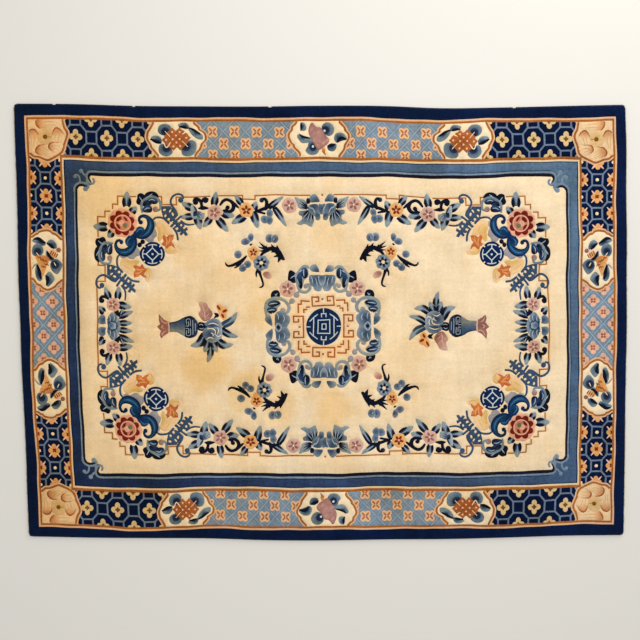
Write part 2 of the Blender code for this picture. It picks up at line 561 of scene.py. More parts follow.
# %% [markdown]
# ## Cartouches
# Three cartouches sit in the lattices: one with an endless knot, one with a pomegranate and one
# with a tassel, all among small clouds. A cloud is a few overlapping curls, grey at the rim and
# blue-black at the core. The endless knot is an old woven emblem, drawn here as a plain
# interlace. The outlines differ from panel to panel, as they do on the rug.

# %% Cartouches with clouds
KNOT_PANEL = [-724, 900, -725, 885, -740, 855, -748, 843, -752, 819, -749, 807, -738, 786,
    -736, 775, -727, 765, -709, 741, -697, 720, -554, 720, -550, 735, -539, 755, -530, 764,
    -520, 789, -502, 808, -506, 834, -528, 849, -531, 860, -551, 880, -558, 900]
POMEGRANATE_PANEL = [-94, 900, -101, 885, -111, 872, -123, 863, -127, 848, -137, 836, -140, 821, -130, 796,
    -121, 787, -117, 774, -97, 752, -92, 737, -88, 720, 74, 720, 78, 733, 84, 744, 103, 768, 107, 783,
    122, 807, 125, 821, 120, 834, 110, 843, 104, 859, 83, 881, 76, 900]
TASSEL_PANEL = [-1290, 374, -1266, 380, -1250, 391, -1240, 394, -1233, 402, -1204, 406,
    -1188, 402, -1180, 394, -1168, 391, -1157, 383, -1139, 366, -1118, 362, -1118, 206,
    -1137, 196, -1158, 180, -1168, 168, -1194, 155, -1210, 155, -1224, 162, -1233, 171,
    -1246, 175, -1260, 194, -1270, 200, -1290, 206]


def cartouche(rim, middle):
    """A cream panel with a rust line round it and a pink one outside that."""
    shapes = blob(grown(rim, middle, 11), "line_pink")
    shapes += blob(grown(rim, middle, 4.8), "line_rust")
    return shapes + blob(grown(rim, middle, -4.2), "panel_cream")


def shaded_leaf(rim, spine, width=10):
    """A grey leaf of a cloud with a blue-black stroke along its back."""
    spine = xy(spine)
    shapes = blob(rim, "ink", glow=("cloud", spine[len(spine) // 2], 2.3 * width))
    return shapes + inlay(spine, (0.7 * width, 1.2 * width, 1.2 * width, 0.6 * width), "black")


def puff(rim, core, radius, tick=None):
    """A cloud's lobe: blue-black at its core and grey at its rim, often with a pale tick."""
    shapes = blob(grown(rim, core, 3), "slate", glow=("cloud", core, 1.25 * radius))
    shapes += oval(*core, 0.6 * radius, 0.6 * radius, "black", carved=False, glow=("slate", core,
        0.7 * radius))
    return shapes + (inlay(tick, (2, 4.2, 2), "panel_cream") if tick else [])


def endless_knot(x, y):
    """A plain interlace of small squares set on their corners, each with a pale dot in it."""
    shapes = []
    dots = [(-16, 31), (15, 31), (0, 16), (-16, 0), (15, 0), (-44, -2), (43, 4), (0, -15), (-14, -31),
        (16, -31)]
    for dx, dy in dots + [(-31, 14), (30, 17), (-30, -15), (31, -13)]:
        half = 19 if abs(dy) > 30 or abs(dx) > 40 else 22
        corners = [(x + dx + half, y + dy), (x + dx, y + dy + half), (x + dx - half, y + dy), (x + dx, y
            + dy - half)]
        shapes += shape(corners, "knot_rust")
    for k in (-1, 0, 1):
        for lean in (1, -1):
            middle = np.array([x + 11 * k * lean, y + 11 * k])
            reach = np.array([30 - 4 * abs(k), -lean * (30 - 4 * abs(k))])
            shapes += inlay([middle - reach, middle + reach], 2.2, "knot_brown")
    for dx, dy in dots:
        shapes += ball(x + dx, y + dy, 4.4, "barb_pink", carved=False)
    return shapes


def knot_cartouche():
    shapes = cartouche(KNOT_PANEL, (-630, 808))
    shapes += puff([-704, 846, -701, 864, -685, 874, -664, 872, -651, 858, -656, 842,
        -674, 830, -692, 832], (-675, 843), 30)
    shapes += shaded_leaf([-736, 820, -724, 827, -704, 825, -692, 810, -694, 794, -712, 796,
        -730, 806], [-736, 812, -722, 804, -708, 797, -695, 794], 11)
    shapes += puff([-698, 784, -703, 764, -695, 748, -676, 738, -658, 742, -649, 756,
        -656, 770, -670, 776, -684, 788], (-671, 772), 30)
    shapes += puff([-604, 796, -585, 797, -562, 801, -548, 790, -547, 766, -556, 746,
        -578, 738, -600, 742, -607, 758], (-589, 778), 36)
    shapes += shaded_leaf([-621, 869, -604, 879, -583, 878, -572, 862, -579, 853, -608, 860],
        [-614, 861, -602, 861, -590, 858, -580, 855], 9)
    shapes += shaded_leaf([-577, 858, -560, 857, -522, 833, -514, 822, -516, 808, -536, 808,
        -554, 818, -568, 834], [-573, 857, -556, 850, -541, 840, -525, 829], 9)
    shapes += endless_knot(-629, 809)
    return shapes + inlays([[-676, 844, -656, 821], [-604, 830, -591, 838, -588, 848], [-684, 797,
        -672, 775, -655, 796], [-603, 799, -581, 775]], (2.4, 5, 3), "panel_cream")


def pomegranate_cartouche():
    shapes = cartouche(POMEGRANATE_PANEL, (-7, 808))
    shapes += puff([-58, 776, -54, 790, -34, 796, -16, 786, -12, 768, -20, 748, -38, 742,
        -56, 746, -68, 760], (-38, 772), 28)
    shapes += puff([8, 840, 8, 862, 24, 876, 46, 872, 58, 852, 50, 832, 30, 824], (22, 846), 29)
    shapes += shaded_leaf([-46, 811, -44, 796, -82, 790, -100, 808, -106, 824, -94, 830,
        -64, 813], [-50, 811, -66, 814, -82, 820, -94, 829], 8)
    shapes += shaded_leaf([-86, 878, -70, 877, -62, 862, -66, 846, -88, 846], [-88, 846,
        -84, 854, -83, 864, -84, 877], 7)
    shapes += shaded_leaf([66, 788, 66, 768, 54, 756, 34, 758, 26, 774, 34, 785], [58, 784,
        50, 782, 42, 780, 32, 774], 13)
    shapes += shaded_leaf([117, 808, 110, 824, 92, 836, 70, 834, 58, 818, 60, 800, 72, 792,
        92, 800], [112, 808, 98, 812, 84, 810, 72, 796], 11)
    shapes += blob([-33, 878, -44, 873, -54, 836, -40, 800, -18, 765, -8, 760, 20, 779, 32, 792, 35, 807,
        13, 832, 6, 850, -4, 858, -15, 859, -26, 868], "mauve_light", glow=("mauve", (-14, 820), 58))
    for x, y, dye in ((-38, 852, "blossom_heart"), (-26, 826, "flower_mauve"), (-8, 838, "blossom_heart"),
            (-30, 804, "blossom_heart"), (-4, 812, "blossom_heart"), (14, 818, "flower_mauve"),
            (-12, 788, "flower_mauve"), (10, 792, "blossom_heart"), (26, 802, "blossom_heart")):
        shapes += oval(x, y, 6.5, 11, dye, turn=-40, glow=("mauve_light", (x, y), 11), carved=False)
    for x, y in ((16, 842), (-38, 775)):
        shapes += oval(x, y, 5, 6, "roundel_line", turn=-30, carved=False)
    return shapes + shape([22, 735, 12, 742, 3, 752, 2, 768, 14, 772, 19, 760, 17, 748],
        "knot_rust", fade=("orange_wool", (17, 748), (8, 772)))


def tassel_cartouche():
    shapes = cartouche(TASSEL_PANEL, (-1203, 282))
    shapes += shaded_leaf([-1264, 368, -1246, 377, -1226, 371, -1206, 353, -1214, 340,
        -1232, 345, -1262, 358], [-1256, 370, -1240, 372, -1224, 362, -1208, 353], 12)
    shapes += shaded_leaf([-1202, 352, -1190, 366, -1174, 364, -1160, 344, -1163, 326,
        -1194, 342], [-1198, 350, -1188, 344, -1180, 336, -1172, 328], 11)
    shapes += puff([-1262, 318, -1258, 338, -1242, 349, -1226, 341, -1219, 318, -1230, 300,
        -1246, 297, -1258, 304], (-1241, 317), 27, [-1246, 312, -1240, 304, -1236, 298])
    shapes += ball(-1152, 321, 10, "vase_foot")
    shapes += stroke([-1203, 316, -1199, 296, -1186, 282, -1168, 277], (8, 16, 15, 8), "cloud")
    shapes += inlay([-1199, 313, -1194, 297, -1183, 286, -1169, 281], (8, 14, 12, 6), "black")
    shapes += blob([-1192, 310, -1180, 323, -1164, 318, -1156, 302, -1162, 290, -1178, 289],
        "orange_wool", fade=("barb_pink", (-1184, 300), (-1160, 318)))
    for k in range(4):
        x, y = -1187 + 8 * k, 304 - 4.5 * k
        shapes += inlay([(x, y), (x + 7, y + 12)], (4.5, 5.5), "knot_brown")
    shapes += blob([-1250, 292, -1234, 299, -1210, 297, -1193, 284, -1206, 246, -1221, 208,
        -1226, 232, -1238, 262], "orange_wool", fade=("knot_rust", (-1236, 270), (-1180, 300)))
    for x, y in ((-1236, 292), (-1224, 282), (-1213, 276), (-1206, 262), (-1218, 252)):
        shapes += inlay([(x - 6, y + 3), (x, y - 4), (x + 5, y + 1), (x + 10, y - 7)], (3.5, 5, 5, 3),
            "knot_brown")
    shapes += puff([-1184, 268, -1174, 280, -1156, 279, -1140, 262, -1144, 244, -1160, 222,
        -1178, 234, -1186, 252], (-1168, 260), 30, [-1172, 270, -1168, 261, -1164, 255])
    shapes += shaded_leaf([-1249, 252, -1240, 262, -1226, 214, -1224, 196, -1238, 188,
        -1250, 204, -1254, 228], [-1242, 256, -1237, 238, -1232, 220, -1230, 200], 12)
    shapes += stroke([-1240, 262, -1254, 256, -1268, 238], (5, 7, 3), "shadow_mauve")
    return shapes + shaded_leaf([-1202, 224, -1190, 230, -1176, 214, -1170, 194, -1198, 166,
        -1204, 180, -1210, 206], [-1206, 212, -1198, 204, -1200, 190, -1204, 172], 11)


def border():
    """The whole main border, corner squares last."""
    shapes = four_ways(lattice_panels())
    shapes += four_ways(knot_cartouche() + tassel_cartouche())
    shapes += pomegranate_cartouche() + mirrored(pomegranate_cartouche(), -1, -1)
    return shapes + four_ways(corner_square())


print(len(border()), "shapes in the border")

# %% [markdown]
# ## Field frets
# A thin rust line steps round the field like a key fret, broken where leaves cross it. The four
# inner corners of the denim band turn into small grey scrolls. Both were the weaver's ruled work,
# with straight runs and mitred corners, so they are drawn with the fret helper.

# %% Stepped line and corner scrolls
STEPPED_RUNS = [     # x, y, x, y along each run
    [-977, 384, -977, 470, -944, 470, -944, 495, -922, 495],
    [-912, 505, -912, 527, -890, 527, -890, 563, -809, 563],
    [-712, 563, -699, 563, -699, 530, -634, 530, -634, 563, -488, 565],
    [-458, 566, -348, 569, -348, 553, -291, 553, -291, 569, -200, 571, -50, 571],
    [-978, 300, -980, 265, -949, 265, -949, 195, -985, 195, -988, 165, -988, 0],
]

CURLS = [     # width and line of each grey curl
    (9, [-994, 666, -1012, 664, -1021, 656, -1024, 644, -1021, 632, -1013, 619, -1004, 613,
         -996, 616, -992, 625, -996, 634]),
    (9, [-1079, 580, -1077, 597, -1067, 609, -1053, 616, -1038, 616, -1022, 612]),
    (10, [-1021, 614, -1016, 602, -1021, 592]),
    (8, [-1052, 616, -1052, 632, -1057, 645, -1066, 651, -1075, 646]),
    (9, [-1023, 645, -1032, 649, -1041, 660]),
    (9, [-1024, 612, -1021, 630]),
]


def ruled(runs, width, dye, glow):
    """A key fret of several runs, on a peach glow."""
    shapes = sum((fret(run, glow, "field_peach", carved=False) for run in runs), [])
    return shapes + sum((fret(run, width, dye) for run in runs), [])


def corner_scroll():
    """Where the grey and the black line of the inner band meet, they curl."""
    shapes = blob([-1092, 680, -1006, 680, -1004, 652, -1014, 642, -1000, 612, -1014, 606,
        -1026, 598, -1042, 604, -1056, 602, -1066, 588, -1092, 586], "denim")
    shapes += stroke([-994, 654.8, -1008, 653, -1015, 644, -1014, 634, -1006, 624], (12, 12, 11, 9,
        4), "band_black")
    shapes += stroke([-1071, 580, -1068, 594, -1058, 604, -1042, 606, -1027, 598], (9, 10, 10, 9,
        4), "band_black")
    for width, curl in CURLS:
        shapes += stroke(curl, width, "band_grey")
    for x, y, radius in ((-1046, 667, 9.5), (-1072, 643, 8.5), (-1029, 590, 10.5)):
        shapes += ball(x, y, radius, "band_grey")
    return shapes


print(len(STEPPED_RUNS), "runs of the stepped line in each quarter")

# %% [markdown]
# ## The corner clusters
# Each corner of the field holds a peony with scrolling leaves, two bats and a round emblem of
# plain fretwork. The cluster is nearly the same on both sides of its diagonal, so half of it is
# drawn and then mirrored across that line.

# %% Peony, scroll leaves, acanthus and bats
PEONY = (-871.0, 450.0)


def peony(x, y):
    shapes = scallop(x, y, 63, 12, 0.08, "peony_core", turn=8, glow=("peony_pink", (x, y), 58))
    shapes += scallop(x - 1, y - 1, 55, 8, 0.30, "peony_red", turn=20)
    shapes += ball(x + 1, y - 1, 36, "peony_pink")
    shapes += ball(x + 1, y - 1, 30, "peony_core")
    shapes += blob([(x - 26, y + 6), (x - 19, y + 22), (x - 6, y + 26), (x - 5, y + 14), (x - 13, y + 4)],
        "peony_red")
    shapes += blob([(x + 4, y + 26), (x + 15, y + 22), (x + 22, y + 8), (x + 12, y + 10)], "peony_red")
    shapes += blob([(x - 27, y - 6), (x - 21, y - 22), (x - 9, y - 29), (x - 13, y - 12)], "peony_red")
    shapes += oval(x - 4, y - 2, 12, 13, "peony_pink", carved=False)
    return shapes + ball(x + 10, y - 11, 10, "moss")


def acanthus():
    """A curled leaf on a grey stem, with black turned-over lobes."""
    shapes = blob([-811, 541, -806, 556, -803, 572, -788, 578, -774, 571, -764, 556, -788, 529,
        -804, 530], "black")
    shapes += blob([-774, 562, -766, 578, -745, 585, -724, 581, -711, 566, -716, 556,
        -735, 557, -756, 556], "black")
    shapes += stroke([-787, 498, -788, 520, -781, 540, -745, 560, -710, 547, -706, 514,
        -718, 504], (8, 12, 16, 16, 12, 10, 8), "cloud")
    shapes += ball(-727, 510, 12.5, "shadow_mauve", fade=("mauve", (-714, 514), (-734, 506)))
    shapes += blob([-782, 524, -779, 540, -764, 548, -746, 546, -742, 534, -752, 524,
        -768, 520], "black", fade=("leaf_blue", (-776, 526), (-750, 544)))
    shapes += blob([-762, 546, -744, 557, -724, 553, -715, 541, -726, 532, -748, 534], "black",
        fade=("leaf_blue", (-740, 532), (-734, 550)))
    shapes += blob([-784, 500, -781, 517, -764, 527, -746, 523, -741, 508, -752, 497], "black",
        fade=("leaf_blue", (-750, 498), (-768, 520)))
    return shapes + inlays([[-776, 508, -764, 515, -750, 515], [-754, 546, -740, 551, -728, 546],
        [-795, 562, -787, 550, -783, 540], [-757, 561, -748, 568, -738, 574]], (2, 4, 2))


def scroll_leaf():
    """A heavy blue leaf that curls back on itself, with a grey scalloped shadow beside it."""
    shapes = blob([-748, 462, -733, 459, -727, 444, -733, 430, -726, 416, -724, 398, -735, 386,
        -740, 372, -758, 368, -784, 398, -752, 420], "shadow_mauve")
    spine = [(-840, 414), (-824, 402), (-802, 395), (-780, 399), (-762, 414), (-752, 436), (-753, 458),
        (-764, 476), (-782, 483), (-797, 476), (-800, 462)]
    shapes += stroke(spine, (3, 14, 22, 30, 34, 33, 28, 19, 14, 12, 11), "scroll_blue")
    shapes += ball(-793, 456, 9.5, "scroll_blue")
    shapes += inlay(spine[2:9], (4, 10, 16, 17, 14, 8, 3), "scroll_mid")
    shapes += inlay(spine[3:7], (2, 5, 6, 2), "scroll_teal")
    shapes += blob([-832, 408, -806, 436, -788, 436, -776, 424, -780, 407, -800, 398],
        "scroll_blue", glow=("scroll_mid", (-806, 410), 34))
    return shapes + inlay([-812, 412, -798, 426, -782, 424], (2, 5, 2), "scroll_teal")


def bat():
    """A yellow wing on each side of a ragged rust body."""
    shapes = blob([-726, 448, -712, 460, -692, 458, -676, 446, -656, 404, -672, 394, -690, 402,
        -702, 382, -714, 371, -721, 388, -718, 410, -726, 430], "field_peach", fade=("bat_yellow",
        (-670, 430), (-716, 390)))
    shapes += inlay([-715, 432, -712, 408, -714, 382], (4, 13, 8), "bat_yellow")
    shapes += inlay([-702, 448, -690, 432, -682, 414], (2, 4, 2), "bat_yellow")
    shapes += blob([-688, 344, -664, 354, -640, 348, -628, 332, -640, 318, -664, 315,
        -684, 322], "bat_yellow", fade=("field_peach", (-684, 330), (-636, 336)))
    shapes += inlay([-672, 330, -656, 326, -640, 334], (2, 4, 2), "corner_tan")
    shapes += shape([-694, 402, -680, 390, -668, 399, -648, 398, -652, 378, -660, 370, -650, 356, -646, 338,
        -660, 352, -668, 350, -681, 337, -690, 350, -706, 358, -694, 370, -700, 388], "bat_rust")
    return shapes + inlays([[-686, 392, -680, 374, -682, 352], [-666, 392, -668, 374, -676, 360],
        [-654, 388, -664, 374]], (3, 5, 3), "orange_wool")


def round_emblem(x, y, radius):
    """A blue disc with a plain symmetrical fret: a diamond, four arms and four rim bars."""
    shapes = scallop(x, y, radius, 4, 0.06, "roundel", turn=0)
    reach = radius * 0.50
    diamond = [(x - reach, y), (x, y + reach), (x + reach, y), (x, y - reach)]
    shapes += fret(diamond, 4.6, "roundel_line", closed=True)
    shapes += ball(x, y, 5, "roundel_line")
    for k in range(4):
        c, s = round(cos(k * pi / 2)), round(sin(k * pi / 2))
        for bar in ([(0.52, 0), (0.74, 0)], [(0.70, -0.34), (0.76, -0.16), (0.76, 0.16), (0.70, 0.34)]):
            line = [(x + radius * (u * c - v * s), y + radius * (u * s + v * c)) for u, v in bar]
            shapes += stroke(line, 4.6, "roundel_line")
        nick = [(x + radius * u * (c - s) * 0.71, y + radius * u * (s + c) * 0.71) for u in (0.84, 1.04)]
        shapes += inlay(nick, 5.5, "field")
    return shapes


def fret_ornament():
    """A blue fret like a sceptre head: a hooked stem, a pierced block and a forked tail."""
    shapes = stroke([-604, 559, -608, 571, -624, 577, -641, 572, -653, 560, -659, 545,
        -657, 530, -639, 500, -635, 484], (8, 9, 9, 9, 9, 9, 10, 13, 12), "fret_blue")
    shapes += ball(-615, 550, 11.5, "fret_blue")
    shapes += shape([-702, 524, -661, 524, -656, 514, -642, 506, -634, 490, -634, 478, -642, 470, -636, 462,
        -628, 452, -618, 456, -604, 448, -600, 436, -606, 430, -600, 426, -590, 432, -586, 420, -596, 414,
        -586, 396, -598, 392, -606, 404, -616, 394, -624, 400, -617, 412, -628, 408, -636, 414, -632, 424,
        -644, 428, -652, 436, -650, 446, -660, 456, -672, 458, -684, 462, -696, 478, -702, 500], "fret_blue")
    shapes += stroke([-640, 460, -616, 480], 9.5, "fret_blue")
    shapes += stroke([-660, 436, -644, 450], 10.5, "fret_blue")
    shapes += stroke([-616, 458, -600, 446, -580, 442, -558, 445], (9, 9, 8, 7), "fret_blue")
    shapes += stroke([-744, 462, -728, 474, -696, 472, -670, 450], (7, 9, 9, 10), "fret_blue")
    shapes += stroke([-654, 432, -642, 417, -634, 400, -631, 377], (9, 10, 9, 9), "fret_blue")
    for gap in ([-668, 445, -654, 457], [-655, 428, -643, 440], [-642, 467, -627, 482],
            [-630, 453, -615, 468]):
        shapes += stroke(gap, (4, 6), "field")
    for x, y, across, along, turn in ((-689, 507, 7, 4.5, 25), (-664, 503, 8, 3.6, 55), (-653, 489, 4.5, 8,
            15), (-685, 482, 4.5, 6.5, -30), (-671, 467, 5.5, 6.5, -20), (-616, 440, 4.5, 6, 0),
            (-633, 425, 5, 5.5, 0), (-604, 427, 3.5, 4.5, 30)):
        shapes += oval(x, y, across, along, "field", turn=turn)
    return shapes


def corner_cluster():
    half = acanthus() + leaf((-851, 523), (-851, 584), 20) + leaf((-832, 496), (-810, 520), 17)
    half += stroke([-866, 535, -862, 548], 9, "black") + stroke([-838, 535, -840, 548], 9, "black")
    half += fret_ornament() + bat() + scroll_leaf() + ball(-785, 372, 10.5)
    over = np.array([(0, -0.94), (-1.07, 0)])
    other = moved(half, over, np.array(PEONY) - over @ PEONY)
    return half + other + round_emblem(-742, 317, 54) + peony(*PEONY)


print(len(corner_cluster()), "shapes in a corner cluster")

# %% [markdown]
# ## The garland
# Blossoms, lilies and a lotus run along each side of the field between the corner clusters. The
# twigs are thick strokes that end in balls, as the weaver drew them, and every leaf is the same
# lobed leaf at another size and turn.

# %% Garland along the long sides
LONG_SIDE_LEAVES = [     # base, tip, half width
    ((-566, 514), (-611, 540), 18), ((-566, 478), (-620, 476), 17), ((-545, 480), (-529, 420), 19),
    ((-471, 530), (-463, 584), 17), ((-486, 470), (-519, 430), 17), ((-452, 462), (-411, 410), 18),
    ((-432, 490), (-384, 477), 20), ((-352, 534), (-381, 570), 15), ((-342, 478), (-397, 446), 19),
    ((-303, 495), (-285, 431), 19), ((-230, 520), (-165, 564), 13), ((-206, 514), (-156, 437), 14),
]

THORNS = [    # tip, root and width of each thorn on a spray's branch
    ((-278, 370), (-250, 346), 15), ((-283, 350), (-254, 342), 13), ((-281, 332), (-256, 332), 12),
    ((-225, 361), (-214, 344), 16), ((-200, 357), (-196, 338), 17), ((-225, 326), (-208, 332), 14),
    ((-214, 306), (-190, 314), 17), ((-166, 292), (-180, 306), 20), ((-195, 281), (-186, 302), 20),
    ((-248, 356), (-240, 342), 9),
]


def petal(points, middle, radius, core="lotus_blue", rim="lotus_grey"):
    """A petal that is dark at its core and pale at its rim."""
    return blob(points, core, glow=(rim, middle, radius))


def lily():
    shapes = blob([-570, 532, -551, 519, -540, 490, -546, 470, -560, 468, -570, 482,
        -573, 508], "lotus_grey", fade=("leaf_pale", (-552, 500), (-572, 500)))
    shapes += inlay([-559, 524, -552, 512, -546, 500], (4, 9, 4), "lotus_blue")
    shapes += blob([-560, 498, -548, 502, -538, 494, -546, 482, -560, 480], "black",
        fade=("lotus_blue", (-552, 500), (-546, 484)))
    shapes += blob([-546, 498, -532, 500, -522, 494, -512, 492, -514, 470, -526, 464,
        -542, 470], "lotus_blue", glow=("lotus_grey", (-540, 488), 24))
    return shapes + inlays([[-534, 494, -524, 488, -518, 480], [-536, 486, -528, 478, -524, 470]],
        (1.6, 3, 1.6))


def lotus():
    """Left half of the lotus in the middle of a long side, with the wide leaf under it."""
    shapes = blob([-58, 508, -76, 506, -98, 503, -99, 488, -86, 480, -88, 464, -110, 449, -92, 441, -72, 446,
        -45, 434, -38, 446, -33, 468, -40, 488], "slate", glow=("leaf_grey", (-56, 498), 58))
    shapes += inlays([[-60, 503, -72, 494, -80, 484], [-57, 500, -64, 486, -74, 472],
        [-52, 499, -52, 482, -60, 464], [-44, 492, -40, 480, -40, 466]], (9, 9, 2), "black")
    shapes += inlays([[-60, 498, -72, 482, -84, 466], [-55, 496, -57, 476, -64, 458],
        [-47, 490, -46, 474, -48, 456]], (1.6, 3, 1.4))
    shapes += blob([-66, 514, -62, 534, -76, 551, -94, 556, -117, 563, -112, 545, -106, 532,
        -104, 519, -84, 511], "slate", glow=("leaf_grey", (-66, 524), 27))
    shapes += inlays([[-68, 528, -84, 540, -96, 549], [-66, 520, -84, 530, -98, 538],
        [-68, 514, -80, 519, -92, 521]], (8, 4, 2), "black")
    shapes += petal([-13, 534, 0, 532, 13, 534, 12, 506, 0, 488, -12, 506], (0, 512), 34)
    shapes += petal([-60, 522, -48, 534, -26, 535, -9, 526, -3, 500, -8, 482, -28, 478,
        -56, 500], (-34, 522), 44)
    shapes += petal([-28, 486, -20, 494, -8, 488, -6, 470, -14, 463, -26, 466], (-18, 486), 26)
    shapes += petal([-57, 552, -50, 568, -32, 577, -17, 562, -12, 543, -50, 542], (-26, 548), 32)
    shapes += blob([-68, 552, -62, 560, -52, 556, -50, 542, -58, 534, -66, 540], "black",
        fade=("slate", (-60, 546), (-64, 560)))
    shapes += stroke([-62, 532, -40, 538, -18, 539, 1, 534], (4, 6, 6, 5), "panel_cream")
    return shapes + inlays([[-17, 532, -10, 516, -3, 498], [-44, 520, -35, 508, -30, 494], [-56, 528,
        -50, 518, -42, 514]], (2.4, 4, 1.6))


def twigs():
    shapes = ball(-551, 542, 12.5) + ball(-507, 547, 12)
    shapes += stroke([-561, 548, -553, 556, -541, 555, -530, 546, -525, 532, -524, 516],
        (8, 13, 14, 15, 13, 14), "black")
    shapes += stroke([-498, 552, -507, 556, -518, 552, -524, 538], (8, 12, 13, 10), "black")
    shapes += stroke([-538, 513, -520, 515, -494, 513], (6, 18, 6), "black")
    shapes += stroke([-445, 527, -433, 543, -418, 550, -402, 545, -390, 534, -386, 519, -390, 507, -399, 499,
        -411, 498, -420, 506], (10, 14, 14, 14, 16, 17, 17, 15, 12, 10), "black")
    shapes += ball(-413, 514, 10) + stroke([-396, 541, -379, 527, -363, 514], (14, 14, 7), "black")
    shapes += stroke([-300, 498, -265, 509, -233, 520, -218, 521, -202, 515, -192, 507],
        (8, 14, 13, 11, 10, 6), "black")
    shapes += stroke([-246, 512, -241, 528, -241, 543, -248, 554, -258, 555], (14, 16, 15, 12, 10), "black")
    shapes += ball(-262, 549, 10.5, fade=("slate", (-256, 549), (-272, 551)))
    return shapes + stroke([-282, 500, -252, 494], (10, 9), "black") + stroke([-79, 521, -66, 519,
        -56, 516], (7, 10, 6), "black")


def blue_bud():
    shapes = petal([-238, 508, -222, 510, -214, 496, -222, 478, -236, 476, -243, 492], (-230, 494), 19)
    shapes += petal([-270, 478, -256, 486, -240, 478, -242, 456, -258, 452, -270, 462], (-254, 468), 20)
    return shapes + petal([-246, 482, -228, 484, -216, 468, -222, 452, -233, 446, -246, 458],
        (-232, 466), 22)


def long_side():
    """The half of a long side from its corner cluster to its middle."""
    shapes = sum((leaf(base, tip, half) for base, tip, half in LONG_SIDE_LEAVES), [])
    shapes += leaf((-300, 510), (-286, 545), 17) + lily() + blue_bud() + twigs()
    shapes += pink_blossom(-468, 493) + orange_blossom(-332, 506) + pink_blossom(-141, 526, 34, 30)
    return shapes + lotus() + ball(0, 573, 4.5, "fret_rust")


print(len(long_side()), "shapes in half a long side")

# %% Garland along the short sides
def side_lotus():
    """Upper half of the lotus in the middle of a short side, turned a quarter."""
    shapes = petal([-943, 6, -944, 32, -934, 52, -922, 60, -906, 48, -890, 14, -890, 0,
        -900, 0], (-930, 22), 44)
    shapes += petal([-982, 8, -986, 28, -972, 46, -958, 42, -952, 26, -956, 8], (-962, 24), 28)
    shapes += stroke([-946, 50, -951, 30, -950, 14, -944, 0], (4, 6, 6, 5), "panel_cream")
    return shapes + inlays([[-936, 46, -932, 30, -936, 16], [-918, 52, -914, 34, -920, 20],
        [-902, 40, -902, 26, -908, 16]], (2, 3.6, 1.6))


def short_side():
    """The half of a short side from its corner cluster to its middle."""
    shapes = leaf((-938, 122), (-952, 170), 16) + leaf((-899, 122), (-891, 174), 16)
    shapes += leaf((-893, 93), (-838, 84), 18) + leaf((-894, 44), (-832, 67), 16)
    shapes += leaf((-888, 52), (-876, 78), 10) + leaf((-890, 14), (-838, 18), 14)
    shapes += ball(-970, 56, 10.5) + leaf((-962, 58), (-982, 84), 15) + leaf((-950, 20), (-978, 24), 13)
    shapes += stroke([-977, 115, -967, 126, -953, 126, -940, 117], (9, 13, 13, 9), "black")
    shapes += ball(-969.5, 109, 11.5) + stroke([-916, 68, -906, 58, -894, 44], (10, 15, 8), "black")
    return shapes + stroke([-901, 68, -898, 52], (8, 10),
        "black") + side_lotus() + pink_blossom(-921, 93, 30)


def lotus_eye():
    """The seed head of the side lotus."""
    shapes = blob([-943, 14, -944, 0, -943, -14, -918, -22, -900, 0, -918, 22], "lotus_blue")
    return shapes + scallop(-923, 1, 17, 5, 0.16, "lotus_blue", turn=36, glow=("leaf_pale", (-929, 2), 21))


print(len(short_side()), "shapes in half a short side")

# %% [markdown]
# ## Sprays, vases and medallion
# Four flowering twigs stand free in the field, and a vase of flowers lies on each side, head to
# foot with the other. In the middle a key fret and a wreath surround a blue disc. The vases have
# plain hairpin lines on their bellies, and the disc has a plain fret.

# %% Flowering twig
def spray():
    shapes = []
    for x, y, across, along, turn in ((-317, 389, 13, 19, -12), (-338, 371, 20, 15, 15), (-370, 315, 17, 17,
            0), (-328, 272, 17, 16, 20), (-348, 257, 16, 18, -25), (-233, 388, 18, 19, 10), (-210, 386, 17,
            19, -10)):
        shapes += oval(x, y, across, along, "slate", turn=turn, glow=("lotus_grey", (x + 2, y - 3), 21))
    shapes += inlays([[-350, 276, -347, 284], [-330, 380, -327, 387], [-226, 392, -222, 400],
        [-344, 262, -338, 270], [-216, 380, -212, 388]], (2.4, 3.4))
    shapes += oval(-315, 358, 7, 4.5, "black", turn=30)
    shapes += stroke([-333, 308, -358, 285, -402, 267, -418, 270, -423, 279], (8, 17, 10, 9, 5), "black")
    shapes += stroke([-358, 279, -372, 265, -384, 258], (13, 10, 4), "black")
    shapes += stroke([-280, 250, -272, 224, -262, 187, -266, 174, -277, 170], (20, 11, 9, 8, 5), "black")
    shapes += stroke([-284, 246, -290, 232, -290, 218], (11, 9, 5), "black")
    shapes += stroke([-272, 309, -260, 324, -243, 336, -227, 342, -209, 338, -193, 326,
        -172, 296], (10, 15, 20, 19, 24, 25, 14), "black")
    for tip, root, width in THORNS:
        shapes += thorn(tip, root, width)
    shapes += oval(-242, 223, 20, 15, "flower_mauve", turn=-35, glow=("flower_pink", (-250, 230), 26))
    shapes += leaf((-303, 306), (-304, 287), 14, "flower_orange", "flower_orange", veins=0)
    shapes += orange_blossom(-303, 325, 27)
    shapes += scallop(-268, 278, 35, 7, 0.16, "slate", turn=10, glow=("lotus_grey", (-268, 278), 34))
    shapes += spread(lambda px, py, angle: oval(px, py, 8, 4.5, "black", turn=angle, carved=False), 6, 15,
        -268, 278, 20)
    shapes += spread(lambda px, py, angle: oval(px, py, 7, 2, "leaf_pale", turn=angle, carved=False), 6, 21,
        -268, 278, 50)
    return shapes + scallop(-268, 278, 8.5, 5, 0.2, "panel_cream")


def thorn(tip, root, width):
    """A thorn that is wide where it grows from the branch."""
    return stroke([root, (np.array(root) * 0.45 + np.array(tip) * 0.55), tip], (width, 0.55 * width, 2.5),
        "black")


print(len(spray()), "shapes in a spray")

